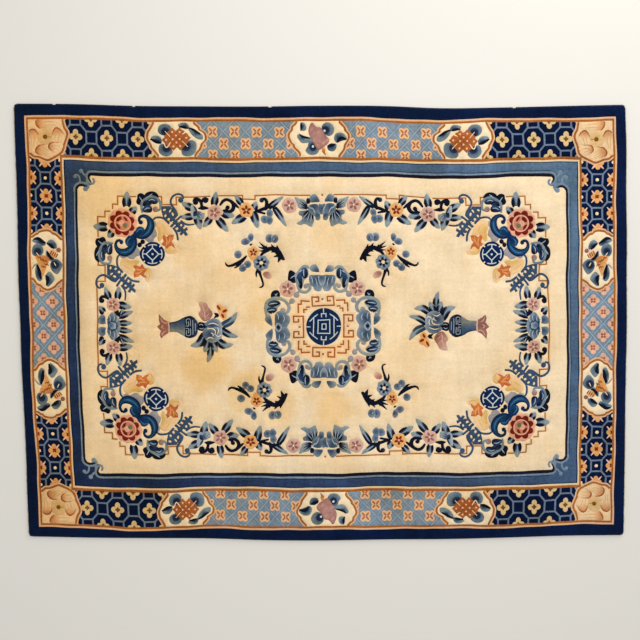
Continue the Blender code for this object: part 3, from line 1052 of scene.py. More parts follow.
# %% Vase
def vase():
    """The left vase, foot to the left. The right one is the same after half a turn."""
    shapes = blob([-523, 22, -536, 30, -549, 50, -548, 62, -540, 72, -548, 105, -526, 105,
        -512, 98, -506, 84, -489, 58, -494, 40, -506, 28], "flower_mauve", fade=("flower_pink",
        (-494, 60), (-548, 100)))
    shapes += inlays([[-522, 28, -524, 60, -532, 96], [-523, 40, -536, 56], [-524, 58,
        -506, 80], [-521, 36, -504, 56], [-520, 30, -504, 38]], (2, 4, 1.6), "flower_pink")
    shapes += leaf((-446, 2), (-380, 64), 17, "lotus_blue", bend=-9) + leaf((-450, -16), (-379, -44), 16,
        bend=-7)
    shapes += leaf((-470, -60), (-402, -77), 19, bend=-13) + leaf((-498, -84), (-513, -156), 16, bend=5)
    shapes += leaf((-527, -42), (-584, -88), 20, bend=13) + leaf((-508, -66), (-524, -114), 17)
    shapes += leaf((-488, -66), (-470, -112), 17)
    foot = [-675, 22, -697, 32, -718, 55, -720, 28, -716, 12, -730, 2, -714, -18, -720, -34,
        -714, -52, -700, -40, -675, -25]
    shapes += shape(foot, "vase_foot", fade=("flower_mauve", (-690, 30), (-730, -20)))
    shapes += inlays([[-710, 38, -704, 24, -692, 16, -684, 20], [-710, -38, -704, -26,
        -692, -18], [-700, 8, -710, 0, -700, -8]], (2, 3.6, 2), "flower_pink")
    body = [(-680, 17), (-655, 20), (-635, 26), (-618, 36), (-598, 43), (-582, 45), (-566, 36), (-552, 16),
        (-553, -24), (-562, -43), (-580, -52), (-598, -51), (-620, -38), (-640, -27), (-660, -25),
        (-680, -24)]
    shapes += shape(smooth(body, False), "vase_blue", fade=("vase_grey", (-640, 20), (-640, -22)))
    shapes += inlay(body[:7], (3, 4, 4, 4, 4, 4, 3), "black")
    shapes += stroke([-679, 21, -677, 0, -679, -25], 6, "flower_pink")
    belly = [-608, 40, -598, 43, -582, 45, -566, 36, -552, 16, -553, -24, -562, -43,
        -580, -52, -598, -51, -608, -46]
    shapes += shape(smooth(belly, False), "black", fade=("slate", (-590, 0), (-552, 0)))
    shapes += inlays([[-601, 10, -601, 31, -585, 31, -585, 3], [-593, 22, -593, 3, -605, 3],
        [-601, -17, -601, -38, -585, -38, -585, -9], [-593, -29, -593, -9, -605, -9],
        [-574, 28, -574, -36], [-563, 14, -563, -21]], 3.6, "lotus_grey")
    shapes += blob([-552, 12, -542, 20, -514, 10, -510, -2, -518, -16, -534, -21, -552, -14], "black")
    shapes += inlay([-546, 6, -538, 10, -530, 4], (2, 3.4, 2))
    shapes += inlay([-545, -8, -536, -12, -528, -8], (2, 3.4, 2))
    shapes += petal([-524, 8, -508, 26, -486, 33, -464, 26, -448, 6, -450, -10, -466, -16,
        -500, -10], (-492, 2), 42)
    shapes += petal([-530, -18, -516, -6, -488, -14, -460, -26, -450, -44, -462, -60,
        -488, -72, -512, -62, -528, -42], (-502, -34), 42)
    shapes += petal([-494, -10, -470, -4, -450, -16, -450, -38, -464, -50, -484, -38],
        (-478, -24), 30, "lotus_blue", "leaf_pale")
    shapes += inlays([[-512, -12, -492, -10, -478, -20, -480, -36], [-516, -58, -500, -48, -484, -54],
        [-468, -6, -464, -20, -470, -34], [-508, 8, -488, 12, -464, 4], [-478, -34, -466, -44, -454, -38],
        [-496, -28, -486, -34, -488, -46]], (1.8, 4, 4, 1.8), "panel_cream")
    shapes += inlays([[-512, 0, -490, 4, -466, -4], [-506, -24, -498, -38, -484, -44]], (2, 5, 2), "slate")
    shapes += shape([-484, 58, -478, 46, -486, 32, -464, 38, -460, 47, -468, 56], "black")
    shapes += blob([-470, 76, -470, 92, -458, 97, -446, 88, -430, 82, -421, 66, -430, 54,
        -428, 38, -440, 26, -452, 34], "flower_orange")
    for x, y, across, along, turn in ((-462, 80, 13, 5, 122), (-437, 65, 12, 6, 30), (-445, 44, 11, 5, -62)):
        shapes += oval(x, y, across, along, "star_rust", turn=turn)
    return shapes + ball(-450, 60, 4.5, "peony_pink")


print(len(vase()), "shapes in a vase")

# %% Medallion, one quarter at a time
def wreath_quarter():
    shapes = blob([-148, 243, -134, 246, -112, 226, -118, 208, -117, 195, -132, 192, -150, 200,
        -154, 210], "black")
    shapes += blob([-229, 132, -224, 150, -210, 159, -194, 157, -186, 142, -190, 128,
        -206, 120, -222, 122], "black")
    shapes += stroke([-118, 226, -88, 258, -68, 261, -60, 254], (10, 15, 13, 8), "leaf_grey")
    shapes += stroke([-120, 228, -103, 166, -79, 153, -64, 158, -55, 170, -57, 182, -66, 188],
        (9, 13, 13, 13, 14, 12, 9), "leaf_grey")
    shapes += ball(-73, 179, 10.5, "shadow_mauve") + ball(-116, 142, 13.5, "shadow_mauve")
    shapes += inlay([-103, 158, -110, 150], (10, 10), "shadow_mauve")
    shapes += blob([-112, 236, -98, 251, -78, 258, -63, 246, -63, 220, -80, 204, -86, 180,
        -98, 166, -112, 184, -117, 212], "leaf_grey", carved=False)
    shapes += blob([-103, 238, -93, 228, -88, 186, -91, 170, -101, 173, -115, 212], "leaf_blue",
        fade=("black", (-112, 220), (-92, 190)))
    shapes += blob([-98, 240, -90, 254, -76, 257, -66, 244, -65, 224, -74, 213, -87, 215],
        "leaf_blue", fade=("black", (-92, 246), (-68, 222)))
    shapes += inlays([[-82, 252, -84, 236, -82, 220], [-141, 212, -130, 220, -114, 224],
        [-112, 210, -108, 196, -102, 184], [-104, 238, -96, 244, -88, 246], [-209, 142,
        -205, 136, -199, 145]], (2, 4.2, 2))
    shapes += stroke([-248, 52, -251, 80, -246, 104, -228, 118, -208, 124, -186, 123, -167, 115, -154, 101,
        -148, 84, -154, 68, -166, 60], (11, 14, 14, 15, 15, 14, 13, 14, 15, 14, 9), "leaf_grey")
    shapes += ball(-176, 72, 12, "shadow_mauve") + ball(-135, 114, 12.5, "shadow_mauve")
    shapes += inlay([-150, 100, -140, 107], (11, 10), "shadow_mauve")
    shapes += blob([-248, 98, -236, 113, -214, 119, -190, 112, -184, 98, -198, 84, -205, 68,
        -226, 57, -245, 66], "leaf_grey", carved=False)
    shapes += blob([-241, 94, -233, 109, -214, 115, -194, 112, -188, 100, -222, 87], "leaf_blue",
        fade=("black", (-222, 112), (-206, 92)))
    shapes += blob([-245, 74, -234, 86, -212, 86, -202, 76, -213, 63, -232, 61], "leaf_blue",
        fade=("black", (-224, 84), (-226, 64)))
    shapes += inlays([[-236, 98, -220, 102, -200, 104], [-240, 72, -224, 76, -210, 75]], (2, 4.5, 2))
    return shapes + pink_blossom(-155, 166, 36, 10)


def north_lotus():
    """Left half of the lotus above the disc."""
    shapes = petal([-50, 243, -55, 258, -40, 269, -25, 267, -12, 241, -32, 239], (-20, 242), 32)
    shapes += petal([-58, 223, -34, 226, -6, 224, 1, 200, -1, 172, -8, 159, -20, 156,
        -35, 161, -41, 174, -50, 182, -58, 196], (-26, 206), 46)
    shapes += stroke([-60, 244, -40, 235, -14, 232, -2, 236], (5, 7, 5, 4), "panel_cream")
    return shapes + inlays([[-50, 220, -44, 206, -44, 192], [-30, 214, -24, 194, -22, 176]], (2, 4, 1.6))


def west_lotus():
    """Upper half of the lotus beside the disc."""
    shapes = petal([-256, 30, -250, 50, -238, 58, -228, 44, -226, 6], (-234, 26), 30)
    shapes += petal([-210, 0, -212, 30, -210, 54, -198, 68, -178, 71, -164, 58, -148, 46,
        -147, 26, -158, 6, -164, -1], (-192, 34), 48)
    shapes += stroke([-220, 60, -218, 36, -222, 6], (5, 8, 5), "panel_cream")
    return shapes + inlays([[-202, 60, -196, 46, -196, 32], [-176, 52, -170, 38, -176, 24]], (2, 4, 1.6))


KEY_RUNS = [
    [2, 93, -47, 93, -47, 132, -19, 132, -19, 113, -34, 113],
    [-109, 62, -109, 101, -96, 101, -96, 116, -58, 114],
    [-86, 62, -86, 79, -71, 79], [-76, 89, -58, 89], [-85, 48, -131, 48, -131, 22, -110, 22, -110, 37],
    [-89, 50, -89, -2], [-111, 2, -104, 2, -104, 4],
]
DISC_RUNS = [
    [-45, 0, -45, 42, -26, 56], [0, 30, -26, 30, -26, 0], [0, 58, -10, 58, -10, 42],
    [-45, 42, -62, 24], [0, 12, -9, 12, -9, 0],
]


def disc():
    """A blue disc with a plain fret, the same in all four quarters."""
    shapes = oval(0, 0, 77, 82, "disc_blue")
    shapes += four_ways(sum((fret(run, 4.2, "roundel_line") for run in DISC_RUNS), []))
    for line in ([0, 63, 0, 81], [0, -81, 0, -63], [-77, 0, -59, 0], [59, 0, 77, 0]):
        shapes += stroke(line, 4.2, "roundel_line")
    return shapes


def medallion():
    shapes = four_ways(ruled(KEY_RUNS, 6.5, "key_rust", glow=25)) + four_ways(wreath_quarter())
    shapes += four_ways(north_lotus()) + four_ways(west_lotus())
    for dy in (1, -1):
        shapes += petal([(-13, dy * 221), (0, dy * 225), (13, dy * 221), (11, dy * 200), (0, dy * 185),
            (-11, dy * 200)], (0, dy * 214), 22)
        shapes += inlay([(-15, dy * 221), (-13, dy * 199), (0, dy * 181), (13, dy * 199), (15, dy * 221)],
            3.4)
        shapes += ball(-3, dy * 122, 5, "key_rust")
    for dx in (1, -1):
        shapes += inlay([(dx * -211, 0), (dx * -198, 17), (dx * -184, 0), (dx * -198, -17)], 4,
            closed=True) + ball(dx * -198, 0, 7.5)
    return shapes + disc()


def whole_drawing():
    """Every shape of the rug, in the order in which they cover one another."""
    shapes = plate(-1400, -1000, 1400, 1000, "navy") + plate(-1281, -897, 1281, 897, "ink")
    # The denim band is painted paler towards the back right as painted light; the thin ink bands beside it
    # are painted groove shadow.
    shapes += border() + outer_bands() + paint_light_on_denim(inner_bands() + four_ways(corner_scroll()))
    shapes += four_ways(ruled(STEPPED_RUNS, 5, "fret_rust",
        glow=12)) + four_ways(long_side()) + four_ways(short_side())
    shapes += both_sides(lotus_eye()) + four_ways(corner_cluster()) + four_ways(spray())
    left_vase = vase()
    return shapes + left_vase + mirrored(left_vase, -1, -1) + medallion()


drawing = whole_drawing()
print(len(drawing), "shapes,", sum(len(s.points) for s in drawing), "points")

# %% [markdown]
# ## Cutting the pile into dyes
# The outlines of all the shapes are cut into triangles at once, and the triangles that fall in the
# same wool are told apart by the top-most shape over their middle. Outlines that end up hidden are
# then dropped, and the visible ones are cut again with a row of points on both sides, so that the
# carved groove between two shapes gets a floor and two shoulders. A picture would show the same
# colours, but it could not be carved, and its edges would blur close up.

# %% Cutting tools
# All in millimetres
GROOVE_HALF = 2.4        # from the scissors' cut to the shoulder of the pile
GROOVE_DEPTH = 2.2
LONG_PIECE = 22.0        # a straight edge is split at least this often
GRID = 45.0              # between the points inside plain wool
FADE_GRID = 9.0          # and inside a shape that fades
GRID_REACH = 1300, 920   # from the middle, for plain wool
FADE_REACH = 1290, 900   # and for shapes that fade
MERGE = 0.02             # points closer than this become one
DENSE = 1.5              # between the samples that stand for an outline
SHOULDER_CELL = 1.6      # of the grid that thins the shoulders
CLEARANCES = 12.0, 0.72 * GROOVE_HALF, 3.2     # of plain, shoulder and fading points from outlines


def cut(points, edges):
    """A triangulation that keeps the given edges: its points, edges and triangles."""
    corners = [Vector(p) for p in np.asarray(points).tolist()]
    found = delaunay_2d_cdt(corners, np.asarray(edges).tolist(), [], 0, MERGE, False)
    triangles = [f for f in found[2] if len(f) == 3]
    return np.array([v[:] for v in found[0]]), np.array(found[1]), np.array(triangles)


def ring_edges(first, count):
    run = np.arange(first, first + count)
    return np.column_stack([run, np.append(run[1:], first)])


def windings(rim, x, y):
    """How often a closed outline goes round each point."""
    x1, y1 = rim[:, 0, None], rim[:, 1, None]
    x2, y2 = np.roll(rim[:, 0], -1)[:, None], np.roll(rim[:, 1], -1)[:, None]
    left = (x2 - x1) * (y - y1) - (x - x1) * (y2 - y1)
    up = (y1 <= y) & (y2 > y) & (left > 0)
    down = (y1 > y) & (y2 <= y) & (left < 0)
    return up.sum(0) - down.sum(0)


def topmost(x, y, plain=False):
    """The number of the shape that covers each point; plain leaves out the uncarved detail."""
    order = np.argsort(x)
    xs, ys = x[order], y[order]
    number = np.zeros(len(x), int)
    for k, s in enumerate(drawing):
        if plain and not s.carved:
            continue
        low, high = s.points.min(0), s.points.max(0)
        a, b = np.searchsorted(xs, (low[0], high[0]))
        near = a + np.flatnonzero((ys[a:b] > low[1]) & (ys[a:b] < high[1]))
        if len(near):
            inside = near[windings(s.points, xs[near], ys[near]) != 0]
            number[order[inside]] = k
    return number


looks = {}
look_of = np.array([looks.setdefault(s.dye if s.other is None else (s.dye, s.other, *s.anchors.ravel()),
    len(looks)) for s in drawing])
carved_of = np.array([s.carved for s in drawing])


def visible_edges(triangles, number):
    """Edges between two different wools, and which of them are carved."""
    sides = np.sort(triangles[:, [0, 1, 1, 2, 2, 0]].reshape(-1, 2), 1)
    owner = np.repeat(number, 3)
    order = np.lexsort((sides[:, 1], sides[:, 0]))
    sides, owner = sides[order], owner[order]
    same = np.flatnonzero((sides[1:] == sides[:-1]).all(1))
    one, two = owner[same], owner[same + 1]
    differs = look_of[one] != look_of[two]
    return sides[same][differs], carved_of[np.maximum(one, two)][differs]


print("grooves are", 2 * GROOVE_HALF, "mm wide and", GROOVE_DEPTH, "mm deep")

# %% The rug's outline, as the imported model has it
MM = 0.001
LENGTH, WIDTH, RUG_THICKNESS = 2660.0, 1900.0, 14.0
PILE_ROUNDING, FOOT_BEVEL, EDGE_FINISH, CORNER_RADIUS, GAP = 5.0, 1.0, 6.0, 20.0, 0.3
STATION_STEP = 24.0
CORNER_STEPS = 6

# How far each edge runs outside its straight nominal line, in millimetres. The share goes
# from left to right along the back and front edges, and from back to front along the others.
EDGE_WANDER = {
    "back": (8, 5, -4, -7, -9, -7, -9, -20, -18, -13, -9),
    "front": (-4, 3, 7, 10, 20, 23, 20, 20, 15, 8, 7),
    "left": (9, 8, 6, 7, 9, 6, 5, 0, -4, -5, -8),
    "right": (-15, -7, -5, 1, 3, 7, 6, 6, 7, 7, 7),
}


def wander(edge, share):
    """An edge's distance outside its nominal line, smooth between the table's columns."""
    table = np.array(EDGE_WANDER[edge], float)
    place = np.clip(share, 0, 1) * (len(table) - 1)
    row = np.minimum(place.astype(int), len(table) - 2)
    t = place - row
    a, b, c, d = (table[np.clip(row + k, 0, len(table) - 1)] for k in (-1, 0, 1, 2))
    return b + 0.5 * t * (c - a + t * (2 * a - 5 * b + 4 * c - d + t * (3 * (b - c) + d - a)))


def laid(points):
    """Where points of the straight nominal rug lie on the real, slightly bowed one."""
    x, y = np.asarray(points, float).T
    along, down = x / LENGTH + 0.5, 0.5 - y / WIDTH
    shift_x = wander("right", down) * along - wander("left", down) * (1 - along)
    shift_y = wander("back", along) * (1 - down) - wander("front", along) * down
    return np.column_stack([x + shift_x, y + shift_y])


def rim_at(inset):
    """The rug's outline that far inside its edge, clockwise from the left end of the back."""
    core_x, core_y = LENGTH / 2 - CORNER_RADIUS, WIDTH / 2 - CORNER_RADIUS
    corners = [(-core_x, core_y, 180), (core_x, core_y, 90), (core_x, -core_y, 0), (-core_x, -core_y, -90)]
    radius = CORNER_RADIUS - inset
    rim = []
    for k, (x, y, start) in enumerate(corners):
        for step in range(CORNER_STEPS + 1):
            angle = radians(start - 90 * step / CORNER_STEPS)
            rim.append((x + radius * cos(angle), y + radius * sin(angle)))
        out = radians(start - 90)
        far_x, far_y, _ = corners[(k + 1) % 4]
        parts = round(hypot(far_x - x, far_y - y) / STATION_STEP)
        for part in range(1, parts):
            share = part / parts
            rim.append((x + (far_x - x) * share + radius * cos(out), y + (far_y - y) * share
                + radius * sin(out)))
    return np.array(rim)


outer = laid(rim_at(0.0))
MIDDLE = (outer.min(0) + outer.max(0)) / 2


# How far the weaving has drifted off its chart, in millimetres, in rows from back to front and
# columns from left to right, spread evenly over these reaches from the middle.
DRIFT_REACH = 1220.0, 820.0
DRIFT_X = [(7, 3, 1, 0, -14, -9, -5), (4, 2, 2, -3, -8, -7, -6),
    (0, 0, 4, -1, -10, -5, -3), (9, 8, 2, -6, -10, -8, -6)]
DRIFT_Y = [(-2, -3, -2, -2, -6, 0, -7), (-2, -5, -1, -2, 1, -1, 0),
    (-7, -7, -3, 1, 4, -3, -5), (-1, -12, 2, 2, 3, -1, 5)]


def drifted(table, x, y):
    """How far the weaving has drifted off its chart, smooth between the table's places."""
    table = np.array(table, float)
    rows, columns = table.shape
    along = np.clip(0.5 + x / DRIFT_REACH[0] / 2, 0, 1) * (columns - 1)
    down = np.clip(0.5 - y / DRIFT_REACH[1] / 2, 0, 1) * (rows - 1)
    column, row = np.minimum(along.astype(int), columns - 2), np.minimum(down.astype(int), rows - 2)
    along, down = (t * t * (3 - 2 * t) for t in (along - column, down - row))
    upper, lower = (table[row + k, column] * (1 - along) + table[row + k, column + 1] * along for k in (0, 1))
    return upper * (1 - down) + lower * down


def by_hand(points):
    """The weaver's lines waver by a knot or so, and drift, but not at the rug's edge."""
    x, y = points.T
    shift_x = (1.5 * np.sin(x / 71 + y / 97 + 1.1) + 1.0 * np.sin(y / 41 - x / 83 + 0.4)
        + 0.6 * np.sin(x / 19 + y / 23 + 2.0)) + drifted(DRIFT_X, x, y)
    shift_y = (1.5 * np.sin(y / 67 - x / 89 + 2.3) + 1.1 * np.sin(x / 43 + y / 79 + 5.0)
        + 0.6 * np.sin(x / 21 - y / 17 + 0.7)) + drifted(DRIFT_Y, x, y)
    inside = np.clip(np.minimum(LENGTH / 2 - np.abs(x), WIDTH / 2 - np.abs(y)) / 36 - 0.3, 0, 1)
    return points + np.column_stack([shift_x, shift_y]) * inside[:, None]


def on_floor(points):
    """Nominal millimetres to metres in the part's frame."""
    return (laid(by_hand(points)) - MIDDLE) * MM


print("outline", len(outer), "stations, box", (outer.max(0) - outer.min(0)).round(1), "mm")

# %% Cut once to find what shows, and again with shoulders beside every groove
def inside_rim(points, rim):
    return windings(rim, points[:, 0], points[:, 1]) != 0


def first_cut(plain=False):
    """The visible edges of the whole drawing, as pairs of points.

    Edges are split first, because the cut can lose one that runs the whole length of the rug.
    """
    shown = [s for s in drawing if s.carved or not plain]
    starts = np.cumsum([0] + [len(s.points) for s in shown])
    points = np.vstack([s.points for s in shown])
    edges = np.vstack([ring_edges(a, len(s.points)) for a, s in zip(starts, shown)])
    points, edges, _ = split_long(points, edges, np.zeros(len(edges), bool), LONG_PIECE)
    points, _, triangles = cut(points, edges)
    middles = points[triangles].mean(1)
    number = topmost(middles[:, 0], middles[:, 1], plain)
    edges, carved = visible_edges(triangles, number)
    return points, edges, carved


def split_long(points, edges, carved, longest):
    """Splits long edges, so that they can follow the rug's bow."""
    start, end = points[edges[:, 0]], points[edges[:, 1]]
    parts = np.ceil(np.linalg.norm(end - start, axis=1) / longest).astype(int)
    new_points, new_edges, new_carved = [points], [], []
    count = len(points)
    for number in np.unique(parts):
        pick = parts == number
        a, b = edges[pick, 0], edges[pick, 1]
        before = a
        for k in range(1, number):
            between = start[pick] + (end[pick] - start[pick]) * k / number
            ids = np.arange(count, count + len(between))
            count += len(between)
            new_points.append(between)
            new_edges.append(np.column_stack([before, ids]))
            new_carved.append(carved[pick])
            before = ids
        new_edges.append(np.column_stack([before, b]))
        new_carved.append(carved[pick])
    return np.vstack(new_points), np.vstack(new_edges), np.concatenate(new_carved)


def dense(points, edges):
    """Points all along some edges."""
    start, end = points[edges[:, 0]], points[edges[:, 1]]
    parts = np.ceil(np.linalg.norm(end - start, axis=1) / DENSE).astype(int) + 1
    rows = np.repeat(np.arange(len(edges)), parts)
    place = np.arange(len(rows)) - np.repeat(np.cumsum(parts) - parts, parts)
    share = (place / (parts[rows] - 1))[:, None]
    return start[rows] * (1 - share) + end[rows] * share


def search_tree(samples):
    tree = KDTree(len(samples))
    for k, (x, y) in enumerate(samples.tolist()):
        tree.insert((x, y, 0.0), k)
    tree.balance()
    return tree


def nearness(samples):
    """A function that gives each point's distance to the nearest sample."""
    tree = search_tree(samples)
    return lambda points: np.array([tree.find((x, y, 0.0))[2] for x, y in points.tolist()])


def thinned(points, spacing):
    """One point for each cell of a fine grid."""
    cells = np.floor(points / spacing).astype(int)
    _, keep = np.unique(cells, axis=0, return_index=True)
    return points[np.sort(keep)]


def shoulders(points, edges):
    """Points on both sides of the carved edges."""
    start, end = points[edges[:, 0]], points[edges[:, 1]]
    run = end - start
    length = np.linalg.norm(run, axis=1, keepdims=True)
    out = np.column_stack([-run[:, 1], run[:, 0]]) / np.maximum(length, 1e-9) * GROOVE_HALF
    middle = (start + end) / 2
    keep = length[:, 0] > 1.2
    return np.vstack([(middle + out)[keep], (middle - out)[keep]])


def grid_points(reach, spacing):
    """Staggered points over a rectangle with these half sizes."""
    xs = np.arange(-reach[0], reach[0], spacing)
    ys = np.arange(-reach[1], reach[1], spacing)
    x, y = np.meshgrid(xs, ys)
    return np.column_stack([x.ravel() + 0.29 * spacing * (np.arange(len(ys)) % 2).repeat(len(xs)), y.ravel()])


seen = first_cut()
print(len(seen[1]), "visible edges,", int(seen[2].sum()), "of them carved,",
    round(float(np.linalg.norm(np.diff(seen[0][seen[1]], axis=1), axis=2).sum()) * MM), "m in all")


# %% Triangles for the pile and for the back
def second_cut(rim, visible, with_grooves):
    """Points, triangles, shape numbers and groove depths of a face of the rug inside the rim."""
    points, edges, carved = split_long(*visible, LONG_PIECE)
    keep = inside_rim(points[edges].mean(1), rim)
    edges, carved = edges[keep], carved[keep]
    used, edges = np.unique(edges, return_inverse=True)
    points, edges = points[used], edges.reshape(-1, 2)
    extra = [grid_points(GRID_REACH, GRID)]
    near_any = nearness(dense(points, edges))
    if with_grooves:
        extra.append(thinned(shoulders(points, edges[carved]), SHOULDER_CELL))
        fading = np.array([s.other is not None for s in drawing])
        fine = grid_points(FADE_REACH, FADE_GRID)
        extra.append(fine[fading[topmost(fine[:, 0], fine[:, 1])]])
    for k, more in enumerate(extra):
        more = more[inside_rim(more, rim * 0.992)]
        extra[k] = more[near_any(more) > CLEARANCES[k]]
    count = len(rim)
    all_points = np.vstack([rim, points, *extra])
    all_edges = np.vstack([ring_edges(0, count), edges + count])
    all_points, _, triangles = cut(all_points, all_edges)
    middles = all_points[triangles].mean(1)
    keep = inside_rim(middles, rim)
    triangles, middles = triangles[keep], middles[keep]
    number = topmost(middles[:, 0], middles[:, 1], not with_grooves)
    depth = np.zeros(len(all_points))
    if with_grooves:
        far = nearness(dense(points, edges[carved]))(all_points)
        share = np.clip(1 - far / GROOVE_HALF, 0, 1)
        depth = share * share * (3 - 2 * share)
    return all_points, triangles, number, depth


inner = EDGE_FINISH + GAP
top = second_cut(rim_at(inner + PILE_ROUNDING), seen, True)
back = second_cut(rim_at(inner + FOOT_BEVEL), first_cut(plain=True), False)
print("pile:", len(top[1]), "triangles; back:", len(back[1]), "triangles")

# %% [markdown]
# ## Wool, back and yarn
# Wool pile is matte, with a soft sheen where the tufts lean. Each knot takes the dye a little
# differently, and whole rows differ where a new batch of yarn was started. Broad patches look
# lighter or darker as the pile leans, and this is painted shade and sheen. So the material reads
# each shape's dye from the mesh, and noises at the sizes of knots, rows and patches vary it. Where
# the field has yellowed, a few wide stains tint it, and a painted shade deepens the yellow towards
# the left end.

# %% Functions that add nodes
def add(tree, kind, inputs=None, **settings):
    """Adds a node, sets its settings, and fills or links its inputs."""
    node = tree.nodes.new(kind)
    for name, value in settings.items():
        setattr(node, name, value)
    for name, value in (inputs or {}).items():
        if isinstance(value, bpy.types.NodeSocket):
            tree.links.new(value, node.inputs[name])
        else:
            node.inputs[name].default_value = value
    return node


def reckon(tree, operation, *values):
    """The result of a Math node."""
    return add(tree, "ShaderNodeMath", dict(enumerate(values)), operation=operation).outputs[0]


def ranged(tree, value, from_min, from_max, to_min=0.0, to_max=1.0, **settings):
    """The result of a Map Range node."""
    return add(tree, "ShaderNodeMapRange", {"Value": value, "From Min": from_min, "From Max": from_max,
        "To Min": to_min, "To Max": to_max}, **settings).outputs[0]


def noise(tree, place, scale, detail, roughness=0.5):
    return add(tree, "ShaderNodeTexNoise", {"Vector": place, "Scale": scale, "Detail": detail,
        "Roughness": roughness}).outputs["Fac"]


def two_shades(tree, factor, *stops):
    """A colour ramp between two stops, each a position and a hex value."""
    ramp = add(tree, "ShaderNodeValToRGB", {"Fac": factor})
    for element, (position, code) in zip(ramp.color_ramp.elements, stops):
        element.position = position
        element.color = (*linear(code), 1)
    return ramp.outputs["Color"]


def raised(tree, shader, height, strength, distance):
    """Bumps a surface by a height; distance is in metres."""
    bump = add(tree, "ShaderNodeBump", {"Height": height, "Strength": strength, "Distance": distance})
    tree.links.new(bump.outputs["Normal"], shader.inputs["Normal"])


def new_material(name, **shader_values):
    """A material with a Principled shader whose constants sit on its own sockets."""
    material = bpy.data.materials.new(name)
    material.use_nodes = True
    shader = material.node_tree.nodes["Principled BSDF"]
    for socket, value in shader_values.items():
        shader.inputs[socket.replace("_", " ")].default_value = value
    return material, material.node_tree, shader


KNOT = 0.0034      # metres from knot to knot, which is 90 knots to the foot

# %% Wool pile, hand-knotted and clipped: matte, mottled by its knots and rows
STAINS = [   # x, y and radius in metres, and strength
    (-0.50, -0.17, 0.21, 1.0), (-0.34, -0.27, 0.17, 0.9), (-0.84, -0.10, 0.15, 0.7),
    (-0.80, -0.29, 0.17, 0.5), (-0.18, -0.37, 0.14, 0.7), (-0.57, 0.31, 0.15, 0.6),
    (-0.42, 0.22, 0.13, 0.6), (-0.26, 0.04, 0.12, 0.75), (-0.98, 0.58, 0.27, 0.9),
    (-0.98, -0.58, 0.26, 0.6), (0.30, -0.21, 0.15, 0.35), (-0.36, 0.62, 0.10, 0.5),
    (0.04, 0.62, 0.10, 0.4), (-0.05, -0.30, 0.13, 0.5), (0.24, 0.10, 0.11, 0.4),
    (0.03, -0.38, 0.15, 0.8), (0.02, 0.38, 0.13, 0.5),
]


def weathered(tree, place, colour):
    """The dye varied by knots, rows and patches of painted shade and sheen, and yellowed by stains and by a
    painted shade towards the left end; also returns the knots.

    Dark wool takes its dye less evenly than pale wool, so it varies more.
    """
    knots = noise(tree, place, 0.30 / KNOT, 4.0, 0.70)
    level = reckon(tree, "MULTIPLY_ADD", knots, 2.3, -1.15)
    # The third, broad and round noise is painted shade and sheen of the leaning pile.
    for stretch, size, weight in (((1.0, 0.10, 1.0), 40.0, 1.1), ((0.14, 1.0, 1.0), 46.0, 1.0),
            ((1.0, 1.0, 1.0), 5.0, 1.9)):
        at = add(tree, "ShaderNodeMapping", {"Vector": place, "Scale": stretch}).outputs["Vector"]
        uneven = noise(tree, at, size, 3.0, 0.6)
        centred = reckon(tree, "MULTIPLY_ADD", uneven, weight, -0.5 * weight)
        level = reckon(tree, "ADD", level, centred)
    pale = add(tree, "ShaderNodeRGBToBW", {"Color": colour}).outputs[0]
    depth = ranged(tree, pale, 0.02, 0.45, 0.62, 0.17)
    level = reckon(tree, "MULTIPLY_ADD", level, depth, 1.0)
    shaded = add(tree, "ShaderNodeVectorMath", {0: colour, "Scale": level}, operation="SCALE").outputs[0]

    ground = noise(tree, place, 3.4, 6.0, 0.62)
    parts = add(tree, "ShaderNodeSeparateXYZ", {"Vector": place})
    amount = reckon(tree, "MULTIPLY_ADD", ground, 2.2, -0.85)
    # Painted shade: the yellow tint also deepens towards the left end, where the light is dimmer.
    amount = reckon(tree, "MULTIPLY_ADD", parts.outputs["X"], -0.22, amount)
    ragged = reckon(tree, "MULTIPLY_ADD", ground, -0.30, 0.15)
    for x, y, radius, strength in STAINS:
        away = add(tree, "ShaderNodeVectorMath", {0: place, 1: (x, y, RUG_THICKNESS * MM)},
            operation="DISTANCE").outputs["Value"]
        torn = reckon(tree, "ADD", away, ragged)
        spot = ranged(tree, torn, radius, radius * 0.3, 0.0, strength, interpolation_type="SMOOTHSTEP")
        amount = reckon(tree, "MAXIMUM", amount, spot)
    kept = ranged(tree, amount, 0.0, 1.0)
    yellow = add(tree, "ShaderNodeVectorMath", {0: shaded, 1: (0.97, 0.82, 0.58)}, operation="MULTIPLY")
    cream = add(tree, "ShaderNodeVectorMath", {0: shaded, 1: (1.04, 1.07, 1.15)}, operation="MULTIPLY")
    mixed = add(tree, "ShaderNodeMix", {0: kept, 4: cream.outputs[0], 5: yellow.outputs[0]},
                data_type="VECTOR")          # its vector sockets are numbers 4 and 5, and output 1
    return mixed.outputs[1], knots


def wool_pile():
    material, tree, shader = new_material("wool_pile_hand_knotted", Roughness=0.95, Sheen_Weight=0.03,
        Sheen_Roughness=0.5, Specular_IOR_Level=0.05)
    place = add(tree, "ShaderNodeTexCoord").outputs["Object"]
    dye = add(tree, "ShaderNodeAttribute", attribute_name="dye").outputs["Color"]
    colour, knots = weathered(tree, place, dye)
    tree.links.new(colour, shader.inputs["Base Color"])
    tufts = noise(tree, place, 1.0 / KNOT, 2.0)
    raised(tree, shader, reckon(tree, "ADD", tufts, knots), 0.45, 0.0016)
    return material


print(len(STAINS), "stains in the field")

